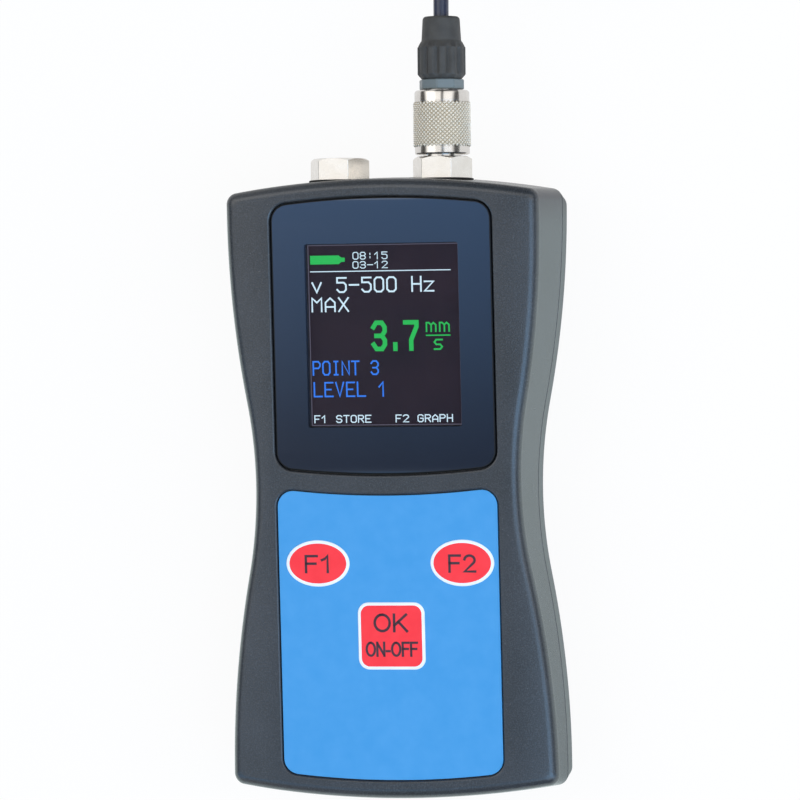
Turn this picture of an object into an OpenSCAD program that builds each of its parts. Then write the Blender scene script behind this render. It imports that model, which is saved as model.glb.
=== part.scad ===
// Handheld vibration meter with a plugged-in sensor lead, lying on its back.
// X runs across the housing, Y towards the sockets, Z up through the front face.
// The origin is on the flat back, midway along the housing.

/* [Housing] */
// Length of the housing along Y
body_len = 118; // [112:0.5:126]
// Width of the housing at both ends
body_w = 65; // [62:0.5:70]
// Width of the housing at the waist
waist_w = 54.7; // [52:0.1:58]
// Distance from each end to the widest part of the side
flare_in = 5.5; // [5:0.1:8]
// Radius of the hollow curve at the waist
waist_r = 86; // [70:1:100]
// Radius of the bowed ends
end_r = 180; // [150:1:260]
// Radius of the four corners seen from the front
corner_r = 4.2; // [3:0.1:5]
// Height of the parting line above the roof of the battery bay
seam_rise = 0.2; // [0.1:0.1:0.4]
// Height of the front face above the main board at mid length
face_rise = 6.7; // [6.5:0.1:8]
// Slope of the front face towards the sockets in degrees
face_tilt = 3.7; // [3:0.1:4]
// Wall thickness of both shells
wall = 2; // [1.6:0.1:2.4]
// Thickness from the front face to the inner ceiling
face_t = 3.2; // [3:0.1:3.4]
// Draft of the front shell's sides, as a share of height
side_draft = 0.2; // [0.14:0.01:0.24]
// Draft of the front shell's ends, as a share of height
end_draft = 0.055; // [0.03:0.005:0.08]
// Draft of the rear shell's sides and ends, as a share of height
rear_draft = 0.11; // [0.06:0.01:0.14]
// Edge round around the front face
front_round = 2; // [1.4:0.1:2.4]
// Edge round around the back
rear_round = 5; // [4:0.1:5.6]
// Depth of the lip that keys the two shells together
lip_h = 1; // [0.6:0.1:1.4]
// Thickness of that lip
lip_t = 0.9; // [0.7:0.05:1]
// Clearance around the lip
lip_gap = 0.1; // [0.05:0.01:0.2]

/* [Display] */
// Width of the lens
lens_w = 42.6; // [41:0.1:43.5]
// Distance from the housing's upper end to the lens
rim_top = 4; // [3.6:0.1:5]
// Length of the lens at its middle
lens_len = 52.4; // [50:0.1:53]
// Radius of the bowed lens and keypad edges
panel_bow_r = 164; // [140:1:220]
// Corner radius of the lens
lens_corner = 3.4; // [2:0.1:5]
// Thickness of the lens
lens_t = 1.2; // [0.8:0.1:1.3]
// Depth of the lens surface below the rim
lens_sink = 0.25; // [0.1:0.05:0.4]
// Thickness of the adhesive frame under the lens
glue_t = 0.15; // [0.1:0.05:0.2]
// Clearance around the lens and the keypad film
panel_gap = 0.2; // [0.1:0.05:0.3]
// Distance from the lens's upper edge to the screen's centre
screen_drop = 26.1; // [25:0.1:28]
// Width of the lit screen
screen_w = 29.2; // [27:0.1:30]
// Length of the lit screen
screen_len = 34.2; // [32:0.1:36]
// Rim of the display module beside the window
module_rim_w = 1.15; // [1:0.05:1.6]
// Rim of the display module above and below the window
module_rim_len = 2.4; // [1.6:0.1:3]
// Thickness of the display module behind the window
module_t = 2; // [1.5:0.1:2.2]
// Width of the display's flat cable
flex_w = 14; // [10:0.5:18]
// Distance of the screen's glass below the lens
glass_gap = 0.3; // [0.2:0.05:0.5]
// Thickness of the foam gasket on the display module
gasket_t = 0.4; // [0.3:0.1:0.6]
// Overlap of the window past the lit screen on each side
window_margin = 1.5; // [1:0.1:2]

/* [Keypad] */
// Width of the keypad film
pad_w = 42.6; // [41:0.1:43.5]
// Bridge between the lens and the keypad film at their middle
bridge = 4; // [3:0.1:5]
// Distance from the housing's lower end to the keypad film
rim_bottom = 3.6; // [3.4:0.1:5]
// Corner radius of the keypad film
pad_corner = 3; // [2:0.1:5]
// Thickness of the printed top film
film_t = 0.35; // [0.2:0.05:0.4]
// Thickness of the keypad circuit under the film
circuit_t = 0.55; // [0.5:0.05:0.6]
// Depth of the keypad film below the rim
pad_sink = 0.3; // [0.1:0.05:0.4]
// Distance of the two upper keys from the middle
key_x = 14; // [12:0.1:15]
// Distance from the film's upper edge to the two upper keys
key_drop = 12.8; // [11:0.1:14]
// Distance from the film's upper edge to the lower key
ok_key_drop = 26.7; // [25:0.1:29]
// Width of an upper key field
key_w = 12.35; // [11:0.05:13]
// Length of an upper key field
key_len = 8.85; // [8:0.05:10]
// Width and length of the lower key field
ok_key_w = 12.9; // [12:0.1:14]
// Corner radius of the lower key field
ok_key_r = 2; // [1:0.1:3]
// Rise of the embossed key fields
key_rise = 0.15; // [0.1:0.05:0.25]
// Radius of a snap dome
dome_r = 5; // [4:0.1:5.5]
// Rise of a snap dome
dome_h = 0.3; // [0.2:0.05:0.35]
// Thickness of the snap domes
dome_t = 0.06; // [0.05:0.01:0.1]
// Width of the keypad's flat tail
tail_w = 9; // [7:0.5:11]

/* [Sockets] */
// Distance of each socket from the middle
socket_x = 10; // [9:0.1:11]
// Height of the socket axes above the parting line
socket_rise = 2.8; // [2.5:0.1:3]
// Spanner size of the socket's hexagon
socket_af = 10; // [9.5:0.1:10.5]
// Growth from the spanner size to the turned corners of the hexagon
socket_turn = 1.2; // [1:0.1:1.4]
// Height of the hexagon
hex_h = 4.1; // [3.5:0.1:5]
// Turn of both hexagons about their axes in degrees
hex_turn = 14; // [0:1:30]
// Wall of the socket around its mouth, which sets the threaded barrel
barrel_wall = 0.6; // [0.5:0.05:0.8]
// Length of that barrel
barrel_len = 7.5; // [7:0.1:9]
// Radius of the socket's mouth
mouth_r = 3.9; // [3.8:0.05:4]
// Depth of the socket's mouth
mouth_len = 3.5; // [3.2:0.1:3.6]
// Step from the mouth down to the contact insert
insert_step = 0.6; // [0.5:0.05:0.9]
// Depth of the insert's face below the floor of the mouth
insert_sink = 0.2; // [0.1:0.05:0.4]
// Radius of the circle of contacts
contact_circle = 1.6; // [1.4:0.05:1.8]
// Radius of a plug pin
pin_r = 0.3; // [0.25:0.05:0.4]
// Growth from the barrel's diameter to the lock nut's spanner size
nut_grow = 2; // [1.6:0.1:2.4]
// Thickness of the lock nut
nut_h = 2; // [1.6:0.1:2.4]
// Thickness of the sealing washer
washer_t = 0.5; // [0.4:0.1:0.8]
// Width of the sealing washer around the barrel
washer_w = 1.4; // [1.2:0.1:1.6]
// Depth of the flat that each socket sits on
spot_depth = 1; // [0.9:0.05:1.2]

/* [Plug] */
// Outer radius of the coupling ring
ring_r = 5.4; // [5.2:0.05:5.8]
// Length of the coupling ring's grip
ring_len = 11.7; // [10:0.1:13]
// Step from the grip down to the plain bands at both ends of the ring
band_step = 0.35; // [0.2:0.05:0.5]
// Length of the lower plain band
band_low = 1.4; // [1:0.1:2]
// Length of the upper plain band
band_high = 2.1; // [1.5:0.1:2.5]
// Gap between the hexagon and the ring's grip
ring_gap = 0.8; // [0.6:0.1:1.2]
// Clearance between the ring's nose and the socket's mouth
nose_gap = 0.08; // [0.05:0.01:0.12]
// Wall of the ring's nose around the plug's inner sleeve
nose_wall = 0.39; // [0.35:0.01:0.45]
// Wall of that sleeve
sleeve_t = 0.5; // [0.4:0.05:0.6]
// Running clearance between the sleeve and the ring
run_gap = 0.05; // [0.03:0.01:0.08]
// Step of the shoulder that holds the ring on the plug
shoulder_step = 0.72; // [0.6:0.02:0.8]
// Radius over the corners of the eight-sided collar
collar_r = 4.35; // [4.2:0.05:4.6]
// Length of the collar
collar_len = 1.9; // [1.5:0.1:2.5]
// Radius of the strain relief's grip
boot_r = 4.55; // [4.4:0.05:4.8]
// Length of the strain relief's grip
boot_len = 7; // [6:0.1:8]
// Radius of the strain relief above the grip
neck_r = 3.7; // [3.5:0.05:3.9]
// Radius of the strain relief at its end
neck_end_r = 3.35; // [3:0.05:3.5]
// Length of the strain relief above the grip
neck_len = 4.9; // [4:0.1:6]
// Number of flutes around the grip
flutes = 12; // [8:1:16]
// Radius of a flute
flute_r = 0.5; // [0.3:0.05:0.7]

/* [Batteries] */
// Diameter of a cell
cell_d = 10.5; // [10.3:0.1:10.5]
// Length of a cell with its button
cell_len = 44.5; // [44:0.1:44.5]
// Width of a contact plate
plate_w = 8; // [7:0.1:9]
// Height of a contact plate
plate_h = 7.2; // [6.5:0.1:8]
// Gap between cells
cell_gap = 0.5; // [0.3:0.1:0.7]
// Height of the cell's button
button_h = 0.9; // [0.8:0.1:1.2]
// Play of the cells across the battery bay
bay_play = 1.9; // [1.5:0.1:2.5]
// Room for the springs and contact plates along the bay
bay_room = 2.5; // [2.2:0.1:3]
// Distance from the housing's lower end to the battery bay
bay_in = 5.8; // [5.5:0.1:7]
// Overlap of the battery cover past the bay on each side
cover_lap = 1.3; // [1.2:0.1:1.6]
// Thickness of the battery cover
cover_t = 1.8; // [1.5:0.1:1.9]
// Width of the tongue on each side of the cover
tongue_w = 1.1; // [0.8:0.1:1.3]
// Thickness of that tongue
tongue_t = 0.8; // [0.6:0.1:0.9]
// Sliding clearance around the cover
slide_gap = 0.15; // [0.1:0.05:0.2]
// Wire diameter of the battery springs
spring_wire = 0.5; // [0.4:0.05:0.6]
// Turns of a battery spring
spring_turns = 2.5; // [2:0.5:3]

/* [Board] */
// Width of the main board
board_w = 47; // [45:0.5:48]
// Distance from each end of the housing to the main board
board_in = 13.5; // [13.4:0.1:15]
// Thickness of the main board
board_t = 1.6; // [1:0.1:1.6]
// Gap between the battery bay and the board
board_gap = 0.4; // [0.3:0.05:0.6]
// Distance of the board screws from the middle
post_x = 20.8; // [20.5:0.1:21]
// Distance of the board screws from the housing's ends
post_in = 18; // [17:0.5:20]
// Distance of the capacitors from the board's upper end
capacitor_in = 27.5; // [24:0.5:29]
// Distance of the input amplifiers from the board's upper end
amplifier_in = 9.5; // [8:0.5:11]
// Width of an input amplifier
amplifier_w = 5; // [4:0.1:6]
// Distance of the processor from the board's lower end
processor_in = 25.5; // [22:0.5:28]

/* [Screws] */
// Distance of the case screws from the middle
screw_x = 24; // [23.5:0.1:24.5]
// Distance of the case screws from the housing's ends
screw_in = 9.5; // [9:0.1:10]
// Radius of a case screw's head
screw_head_r = 2.2; // [2:0.1:2.3]
// Radius of a case screw's shank
screw_r = 1.1; // [1:0.05:1.2]
// Length of a case screw's shank
screw_len = 10.5; // [9:0.1:10.5]
// Depth of the recess that hides a case screw
screw_sink = 5; // [4:0.1:6]
// Radius of a board screw's shank
post_screw_r = 0.9; // [0.8:0.05:1]

/* [Sensor lead] */
// Diameter of the lead
lead_d = 2.9; // [2.7:0.1:3]
// Radius of the coil at the middle of its turns
coil_r = 17.4; // [16:0.1:18]
// Width and height of the coil's bundle
coil_cols = 3; // [3:1:3]
// Layers in the coil
coil_rows = 4; // [4:1:4]
// Thickness of the tie around the coil
tie_t = 0.9; // [0.6:0.1:0.9]
// Width of the tie
tie_w = 8; // [6:0.5:10]
// Radius of the sensor's body
sensor_r = 8.6; // [8:0.1:9.5]
// Height of the sensor's body
sensor_h = 17; // [15:0.5:20]
// Radius of the magnetic base
magnet_r = 10; // [9.6:0.1:11]
// Height of the magnetic base
magnet_h = 6.5; // [6:0.1:6.6]
// Radius of the stud that joins the base to the sensor
stud_r = 2.5; // [2:0.1:3]
// Height of that stud
stud_h = 3.8; // [3:0.1:4.5]

/* [Hidden] */
$fn = 48;

slope = tan(face_tilt);
half_len = body_len / 2;
flare_y = half_len - flare_in;
screw_y = half_len - screw_in;
post_y = half_len - post_in;
flare = (body_w - waist_w) / 2;
flare_sum = (flare_y * flare_y + flare * flare) / (2 * flare);
hip_r = flare_sum - waist_r;
flare_join = flare_y * waist_r / flare_sum;
side_steps = 16;
corner_steps = 5;
end_steps = 8;

lens_top = half_len - rim_top;
lens_bottom = lens_top - lens_len;
screen_v = lens_top - screen_drop;
pad_top = lens_bottom - bridge;
pad_bottom = rim_bottom - half_len;
key_v = pad_top - key_drop;
ok_key_v = pad_top - ok_key_drop;
panel_floor = lens_sink + lens_t + glue_t;
pad_floor = pad_sink + film_t + circuit_t;
window_w = screen_w + 2 * window_margin;
window_len = screen_len + 2 * window_margin;
module_w = window_w + 2 * module_rim_w;
module_len = window_len + 2 * module_rim_len;

barrel_r = mouth_r + barrel_wall;
insert_r = mouth_r - insert_step;
socket_turn_d = socket_af + socket_turn;
nut_af = 2 * barrel_r + nut_grow;
washer_r = barrel_r + washer_w;
band_r = ring_r - band_step;
nose_r = mouth_r - nose_gap;
sleeve_r = nose_r - nose_wall - run_gap;
shoulder_r = sleeve_r + shoulder_step;
spot_y = half_len - spot_depth;
hex_y = spot_y + washer_t;
hex_top = hex_y + hex_h;
mouth_y = hex_top - mouth_len;
barrel_y = hex_y - barrel_len;
insert_y = barrel_y + 0.5;
insert_top = mouth_y - insert_sink;
contact_r = pin_r + 0.2;
tail_y = barrel_y - 3.5;
grip_y = hex_top + ring_gap;
grip_top = grip_y + ring_len;
nose_y = mouth_y + 0.7;
ledge_y = grip_y + 2.6;
collar_y = grip_top + 0.2;
boot_y = collar_y + collar_len;
neck_y = boot_y + boot_len;
lead_y = neck_y + neck_len;

cell_pitch = cell_d + cell_gap;
bay_w = 2 * cell_pitch + cell_d + bay_play;
bay_len = cell_len + bay_room;
bay_end = bay_in - half_len;
bay_y = bay_end + bay_len;
bay_wall = 1.3;
bay_roof = 1;
cell_r = cell_d / 2;
cell_z = cover_t + slide_gap + 0.15 + cell_r;
bay_ceiling = cell_z + cell_r + 0.2;
cover_w = bay_w + 2 * cover_lap;
cover_top_y = bay_y + bay_wall;
plate_t = 0.3;
seam_z = bay_ceiling + seam_rise;
socket_z = seam_z + socket_rise;
board_len = body_len - 2 * board_in;
board_z = bay_ceiling + bay_roof + board_gap;
board_top = board_z + board_t;
face_z = board_top + face_rise;
head_h = 1.6;

lead_r = lead_d / 2;
lead_pitch = lead_d + 0.1;
coil_in = coil_r - coil_cols * lead_pitch / 2;
coil_out = coil_r + coil_cols * lead_pitch / 2;
coil_low = 1;
coil_high = coil_low + coil_rows * lead_pitch;
coil_x = 30.4;
coil_y = lead_y + 30.9;
sensor_x = -23;
sensor_y = lead_y + 28.9;
gland_turn = -28;
gland_r = 2.6;
gland_far = 15;
gland_z = 9.2;
// The lead's way from the plug to the coil, and from the coil to the sensor, measured from the plug's end
lead_out = from_plug([[socket_x, 0, socket_z], [10, 2.9, 15.8], [10, 5.9, 15.7], [10, 8.9, 15.4],
                      [10, 11.9, 14.9], [10, 14.9, 14.2], [10, 17.9, 13.3], [10, 20.9, 12.4],
                      [10.1, 23.9, 11.8], [10.2, 25.9, 11.5]]);
lead_back = from_plug([[28, 10.6, 2.6], [24, 10.8, 2.5], [20, 11.2, 2.4], [16, 11.9, 2.4],
                       [12, 12.9, 2.7], [8, 14.1, 3.4], [4, 15.4, 4.6], [0, 16.9, 6.2],
                       [-3, 18.3, 7.6], [-5.4, 19.5, 8.6], [-7.6, 20.7, 9.1], [-9.6, 21.8, 9.2]]);

// Points moved along Y to the plug's end
function from_plug(points) = [for (p = points) [p[0], p[1] + lead_y, p[2]]];

// Half width of the housing at the parting line
function side_x(y) = abs(y) < flare_join
    ? waist_w / 2 + waist_r - sqrt(waist_r * waist_r - y * y)
    : body_w / 2 - hip_r + sqrt(hip_r * hip_r - (abs(y) - flare_y) * (abs(y) - flare_y));

// Fall of a bowed edge of radius r at distance x from its middle
function bow(x, r) = r - sqrt(r * r - x * x);

// One level of the housing, counter-clockwise from above.
// The level lies on z = level + rise * y, and the wall is drafted from the parting line
// up to z = foot + rise * y, then set in by inset on every side.
function draft_at(y, foot, rise, k) = k * abs(foot + rise * y - seam_z);
function quarter(level, foot, rise, inset, ks, ke, r, sx, sy) =
    let (x_c = body_w / 2 - draft_at(sy * flare_y, foot, rise, ks) - inset - r,
         turn = 90 - asin(x_c / end_r),
         y_end = half_len - draft_at(sy * half_len, foot, rise, ke) - inset,
         y_c = y_end - bow(x_c + r * cos(turn), end_r) - r * sin(turn))
    [for (i = [0:corner_steps]) let (a = turn * i / corner_steps)
        [sx * (x_c + r * cos(a)), sy * (y_c + r * sin(a))]];
function reversed(list) = [for (i = [len(list) - 1:-1:0]) list[i]];
function end_points(c, sx, sy, y_end) =
    [for (i = [1:end_steps - 1]) let (x = sx * c * (1 - 2 * i / end_steps))
        [x, sy * (y_end - bow(x, end_r))]];
function side_points(y0, y1, foot, rise, inset, ks, sx) =
    [for (i = [1:side_steps - 1]) let (y = y0 + (y1 - y0) * i / side_steps)
        [sx * (side_x(y) - draft_at(y, foot, rise, ks) - inset), y]];
function level_points(level, foot, rise, inset, ks, ke, r) =
    let (tr = quarter(level, foot, rise, inset, ks, ke, r, 1, 1),
         tl = reversed(quarter(level, foot, rise, inset, ks, ke, r, -1, 1)),
         bl = quarter(level, foot, rise, inset, ks, ke, r, -1, -1),
         br = reversed(quarter(level, foot, rise, inset, ks, ke, r, 1, -1)),
         y_top = half_len - draft_at(half_len, foot, rise, ke) - inset,
         y_bot = half_len - draft_at(-half_len, foot, rise, ke) - inset,
         flat = concat(tr, end_points(tr[corner_steps][0], 1, 1, y_top), tl,
                       side_points(tl[corner_steps][1], bl[0][1], foot, rise, inset, ks, -1), bl,
                       end_points(br[0][0], -1, -1, y_bot), br,
                       side_points(br[corner_steps][1], tr[0][1], foot, rise, inset, ks, 1)))
    [for (p = flat) [p[0], p[1], level + rise * p[1]]];

// Closed body through a stack of levels with the same number of points
module loft(levels) {
    n = len(levels[0]);
    rows = len(levels);
    points = [for (l = levels) for (p = l) p];
    walls = [for (r = [0:rows - 2]) for (i = [0:n - 1])
        let (a = r * n + i, b = r * n + (i + 1) % n, c = b + n, d = a + n) each [[a, d, c], [a, c, b]]];
    bottom = [[for (i = [0:n - 1]) i]];
    top = [[for (i = [n - 1:-1:0]) (rows - 1) * n + i]];
    polyhedron(points = points, faces = concat(bottom, walls, top));
}

function seam_level(inset, r, z) = level_points(z, seam_z, 0, inset, 0, 0, r);
function front_level(turn) =
    level_points(face_z - front_round * (1 - sin(turn)), face_z - front_round, slope,
                 front_round * (1 - cos(turn)), side_draft, end_draft,
                 corner_r - (1 - cos(turn)) * front_round / 2);
function rear_level(turn) =
    level_points(rear_round * (1 - sin(turn)), rear_round, 0, rear_round * (1 - cos(turn)),
                 rear_draft, rear_draft, corner_r + (1 - cos(turn)) * rear_round / 3);

// Front shell as one closed skin: cavity, lip, parting face, drafted side and rounded edge
module front_skin() {
    roof = face_z - face_t;
    r = corner_r - wall + 0.6;
    r_lip = corner_r - wall + lip_t + 0.3;
    loft([level_points(roof, roof, slope, wall, side_draft, end_draft, r), seam_level(wall, r, seam_z),
          seam_level(wall, r, seam_z - lip_h), seam_level(wall - lip_t, r_lip, seam_z - lip_h),
          seam_level(wall - lip_t, r_lip, seam_z), seam_level(0, corner_r, seam_z),
          front_level(0), front_level(30), front_level(60), front_level(90)]);
}

// Outer form of the rear half, which also trims the cover to the housing
module rear_outside() {
    loft([rear_level(90), rear_level(60), rear_level(30), rear_level(0),
          seam_level(0, corner_r, seam_z + 1)]);
}

// Rear shell as one closed skin: rounded edge, drafted side, parting face, step for the lip, cavity
module rear_skin() {
    r = corner_r - wall + 0.6;
    r_step = corner_r - wall + lip_t + 0.4;
    step = wall - lip_t - lip_gap;
    step_z = seam_z - lip_h - lip_gap;
    loft([rear_level(90), rear_level(60), rear_level(30), rear_level(0), seam_level(0, corner_r, seam_z),
          seam_level(step, r_step, seam_z), seam_level(step, r_step, step_z), seam_level(wall, r, step_z),
          level_points(rear_round, rear_round, 0, wall, rear_draft, rear_draft, r),
          level_points(wall, rear_round, 0, wall + 1.6, rear_draft, rear_draft, r)]);
}

// Places children in the plane of the front face, with Z out of the face
module on_face() {
    translate([0, 0, face_z]) rotate([face_tilt, 0, 0]) children();
}

// Outline with straight sides and bowed ends, bow signs say which way each end curves
function bow_y(x, y0, s) = y0 + s * bow(x, panel_bow_r);
function panel_corner(w, y0, s, up, r) =
    let (x_c = w - r, tilt = up * s * asin(x_c / panel_bow_r), last = 90 + tilt,
         y_c = bow_y(x_c + r * cos(last), y0, s) - up * r * sin(last))
    [for (i = [0:corner_steps]) let (a = last * i / corner_steps) [x_c + r * cos(a), y_c + up * r * sin(a)]];
function panel_end(x0, y0, s) =
    [for (i = [1:2 * end_steps - 1]) let (x = x0 * (1 - i / end_steps)) [x, bow_y(x, y0, s)]];
function flipped(list) = [for (p = list) [-p[0], p[1]]];
function panel_points(w, top, s_top, bottom, s_bottom, r) =
    let (tr = panel_corner(w, top, s_top, 1, r), br = panel_corner(w, bottom, s_bottom, -1, r))
    concat(tr, panel_end(tr[corner_steps][0], top, s_top), reversed(flipped(tr)), flipped(br),
           panel_end(-br[corner_steps][0], bottom, s_bottom), reversed(br));

module lens_plate(grow, z0, z1) {
    translate([0, 0, z0]) linear_extrude(z1 - z0)
        polygon(panel_points(lens_w / 2 + grow, lens_top + grow, -1,
                             lens_bottom - grow, 1, lens_corner + grow));
}

module pad_plate(grow, z0, z1) {
    translate([0, 0, z0]) linear_extrude(z1 - z0)
        polygon(panel_points(pad_w / 2 + grow, pad_top + grow, 1, pad_bottom - grow, 1, pad_corner + grow));
}

module centred_box(w, l, z0, z1) {
    translate([-w / 2, -l / 2, z0]) cube([w, l, z1 - z0]);
}

// Repeats children at the four case screws
module at_case_screws() {
    for (x = [-screw_x, screw_x]) for (y = [-screw_y, screw_y]) translate([x, y, 0]) children();
}

// Repeats children at the four board screws
module at_board_screws() {
    for (x = [-post_x, post_x]) for (y = [-post_y, post_y]) translate([x, y, 0]) children();
}

// Places children on a socket axis, with Z along +Y and the origin at y = 0
module on_axis(x) {
    translate([x, 0, socket_z]) rotate([-90, 0, 0]) children();
}

// Ring or disc about Z between two heights
module ring_about(r_out, r_in, z0, z1) {
    translate([0, 0, z0]) difference() {
        cylinder(r = r_out, h = z1 - z0);
        translate([0, 0, -1]) cylinder(r = r_in, h = z1 - z0 + 2);
    }
}

module socket_holes() {
    for (x = [-socket_x, socket_x]) on_axis(x) {
        translate([0, 0, barrel_y]) cylinder(r = barrel_r + lip_gap, h = barrel_len + 10);
        translate([0, 0, spot_y]) cylinder(r = washer_r + 0.5, h = 10);
    }
}

module tail_slot() {
    translate([-2.5 - tail_w - 1, pad_top - 4.4, -face_t - 2]) cube([tail_w + 2, 1.4, face_t + 2]);
}

// Post from z0 up into the ceiling of the front shell at distance y
module ceiling_post(y, r, z0) {
    translate([0, 0, z0]) cylinder(r = r, h = face_z + slope * y - face_t + 0.9 - z0);
}

module front_shell() {
    boss_r = 3;
    post_r = 2.2;
    color("#50565c") difference() {
        union() {
            front_skin();
            for (x = [-1, 1]) for (y = [-1, 1]) {
                translate([x * screw_x, y * screw_y, 0]) ceiling_post(y * screw_y, boss_r, seam_z);
                translate([x * post_x, y * post_y, 0]) ceiling_post(y * post_y, post_r, board_top);
            }
        }
        on_face() {
            lens_plate(panel_gap, -panel_floor, 5);
            pad_plate(panel_gap, -pad_floor, 5);
            translate([0, screen_v, 0]) centred_box(window_w, window_len, -face_t - 2, 5);
            tail_slot();
        }
        at_case_screws() translate([0, 0, screw_sink]) cylinder(r = screw_r + 0.05, h = screw_len + 0.3);
        at_board_screws() translate([0, 0, board_top - 1]) cylinder(r = post_screw_r + 0.05, h = 1 + 2.6);
        socket_holes();
    }
}

// The cover's plate with its two tongues, grown by g on every side but the back
module cover_form(g) {
    tongue_z = cover_t - tongue_t;
    length = body_len + cover_top_y + g - slide_gap;
    translate([-cover_w / 2 - g, -body_len, -1]) cube([cover_w + 2 * g, length, cover_t + 1 + g]);
    translate([-cover_w / 2 - tongue_w - g, -body_len, tongue_z - g])
        cube([cover_w + 2 * tongue_w + 2 * g, length, tongue_t + 2 * g]);
}

module rear_shell() {
    rail_w = cover_w + 2 * tongue_w + 4;
    rail_z = cover_t + slide_gap + 1.4;
    bury = wall / 2;
    end_y = half_len - wall - rear_round / 2;
    color("#4a4f55") difference() {
        union() {
            rear_skin();
            translate([-rail_w / 2, -end_y, bury]) cube([rail_w, end_y + cover_top_y + 1.5, rail_z - bury]);
            translate([-bay_w / 2 - bay_wall, bay_end - bay_wall, bury])
                cube([bay_w + 2 * bay_wall, bay_len + 2 * bay_wall, bay_ceiling + bay_roof - bury]);
            at_case_screws() {
                translate([0, 0, bury + 0.5]) cylinder(r = screw_head_r + 1.7, h = seam_z - lip_h - 2 - bury);
                translate([0, 0, bury + 0.5]) cylinder(r = screw_head_r + 0.7, h = seam_z - bury - 0.5);
            }
        }
        translate([-bay_w / 2, bay_end, -1]) cube([bay_w, bay_len, bay_ceiling + 1]);
        cover_form(slide_gap);
        at_case_screws() {
            translate([0, 0, -1]) cylinder(r = screw_head_r + 0.3, h = screw_sink + 1);
            cylinder(r = screw_r + 0.15, h = seam_z + 1);
        }
        socket_holes();
    }
}

module battery_cover() {
    grip_pitch = 1.6;
    grip_w = 14;
    grip_in = 7;
    color("#4a4f55") difference() {
        intersection() {
            rear_outside();
            cover_form(0);
        }
        for (i = [-3:3]) let (w = grip_w - abs(i) * 2.8)
            translate([-w / 2, cover_top_y - grip_in - (i + 3) * grip_pitch, -0.5]) cube([w, 0.8, 1]);
    }
}

module display_lens() {
    color("#1d2433", 0.9) on_face() lens_plate(0, -lens_sink - lens_t, -lens_sink);
}

module lens_adhesive() {
    color("#202020") on_face() difference() {
        lens_plate(-0.8, -panel_floor, -panel_floor + glue_t);
        translate([0, screen_v, 0]) centred_box(window_w + 1, window_len + 1, -5, 5);
    }
}

module display_gasket() {
    color("#303030") on_face() translate([0, screen_v, 0]) difference() {
        centred_box(module_w - 0.5, module_len - 0.5, -face_t - gasket_t, -face_t);
        centred_box(window_w, window_len, -face_t - gasket_t - 1, 0);
    }
}

module display_module() {
    back = -face_t - gasket_t - module_t;
    glass_top = -panel_floor - glass_gap;
    glass_rim = 0.5;
    color("#101018") on_face() translate([0, screen_v, 0]) difference() {
        union() {
            centred_box(module_w, module_len, back, back + module_t);
            centred_box(window_w - 2 * glass_rim, window_len - 2 * glass_rim, back, glass_top);
        }
        centred_box(screen_w, screen_len, glass_top - 0.1, glass_top + 1);
    }
}

// Strip of flat cable with its section drawn in the YZ plane
module flat_cable(points, w, x) {
    translate([x - w / 2, 0, 0]) rotate([90, 0, 90]) linear_extrude(w) polygon(points);
}

module display_flex() {
    module_low = screen_v - module_len / 2;
    module_back = face_z + slope * module_low - face_t - gasket_t - module_t;
    t = 0.2;
    y0 = module_low + 5;
    y1 = module_low - 2.6;
    z0 = module_back + slope * 5 - 0.05;
    z1 = board_top + 0.65;
    drop = module_back - 0.1 - z1 - t;
    color("#b07a30") flat_cable([[y0, z0], [y0, z0 - t], [module_low - 1, module_back - t - 0.2],
                                 [y1 + 0.6, z1 + 0.45 * drop], [y1, z1], [y1 - 2.2, z1], [y1 - 2.2, z1 + t],
                                 [y1 + 0.1, z1 + t], [module_low - 1.4, module_back - 0.1],
                                 [module_low, module_back - 0.1]], flex_w, 0);
}

// Outline of an oval key field
function oval_points() = [for (i = [0:35]) [key_w / 2 * cos(10 * i), key_len / 2 * sin(10 * i)]];

// Outline of the lower key field, a square with rounded corners
function square_points() =
    let (c = ok_key_w / 2 - ok_key_r)
    [for (q = [0:3]) for (i = [0:corner_steps]) let (a = 90 * q + 90 * i / corner_steps)
        [c * (q == 0 || q == 3 ? 1 : -1) + ok_key_r * cos(a), c * (q < 2 ? 1 : -1) + ok_key_r * sin(a)]];

module keypad_film() {
    color("#4da0e6") on_face() translate([0, 0, -pad_sink]) {
        pad_plate(0, -film_t, 0);
        translate([0, 0, -film_t / 2]) linear_extrude(film_t / 2 + key_rise) {
            translate([-key_x, key_v]) polygon(oval_points());
            translate([key_x, key_v]) polygon(oval_points());
            translate([0, ok_key_v]) polygon(square_points());
        }
    }
}

module at_keys() {
    translate([-key_x, key_v, 0]) children();
    translate([key_x, key_v, 0]) children();
    translate([0, ok_key_v, 0]) children();
}

module keypad_circuit() {
    top = -pad_sink - film_t;
    t = 0.15;
    color("#c9c4b4") on_face() {
        difference() {
            pad_plate(-0.1, -pad_floor, top);
            at_keys() translate([0, 0, -pad_floor + 0.15]) cylinder(r = dome_r + 0.2, h = 5);
        }
        translate([-2.5 - tail_w, pad_top - 3.8, -pad_floor - 3.6]) cube([tail_w, t, 3.6]);
    }
}

module key_domes() {
    color("#c8c8c8") on_face() at_keys() translate([0, 0, -pad_floor + 0.15]) rotate_extrude()
        polygon([[0, dome_h - dome_t], [dome_r * 0.5, dome_h * 0.75 - dome_t],
                 [dome_r * 0.8, dome_h * 0.36 - dome_t], [dome_r - 0.2, 0], [dome_r, 0],
                 [dome_r * 0.8, dome_h * 0.36], [dome_r * 0.5, dome_h * 0.75], [0, dome_h]]);
}

module main_board() {
    color("#2c6b3c") difference() {
        translate([0, 0, board_z]) centred_box(board_w, board_len, 0, board_t);
        at_board_screws() translate([0, 0, board_z - 1]) cylinder(r = post_screw_r + 0.2, h = board_t + 2);
    }
}

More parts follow.
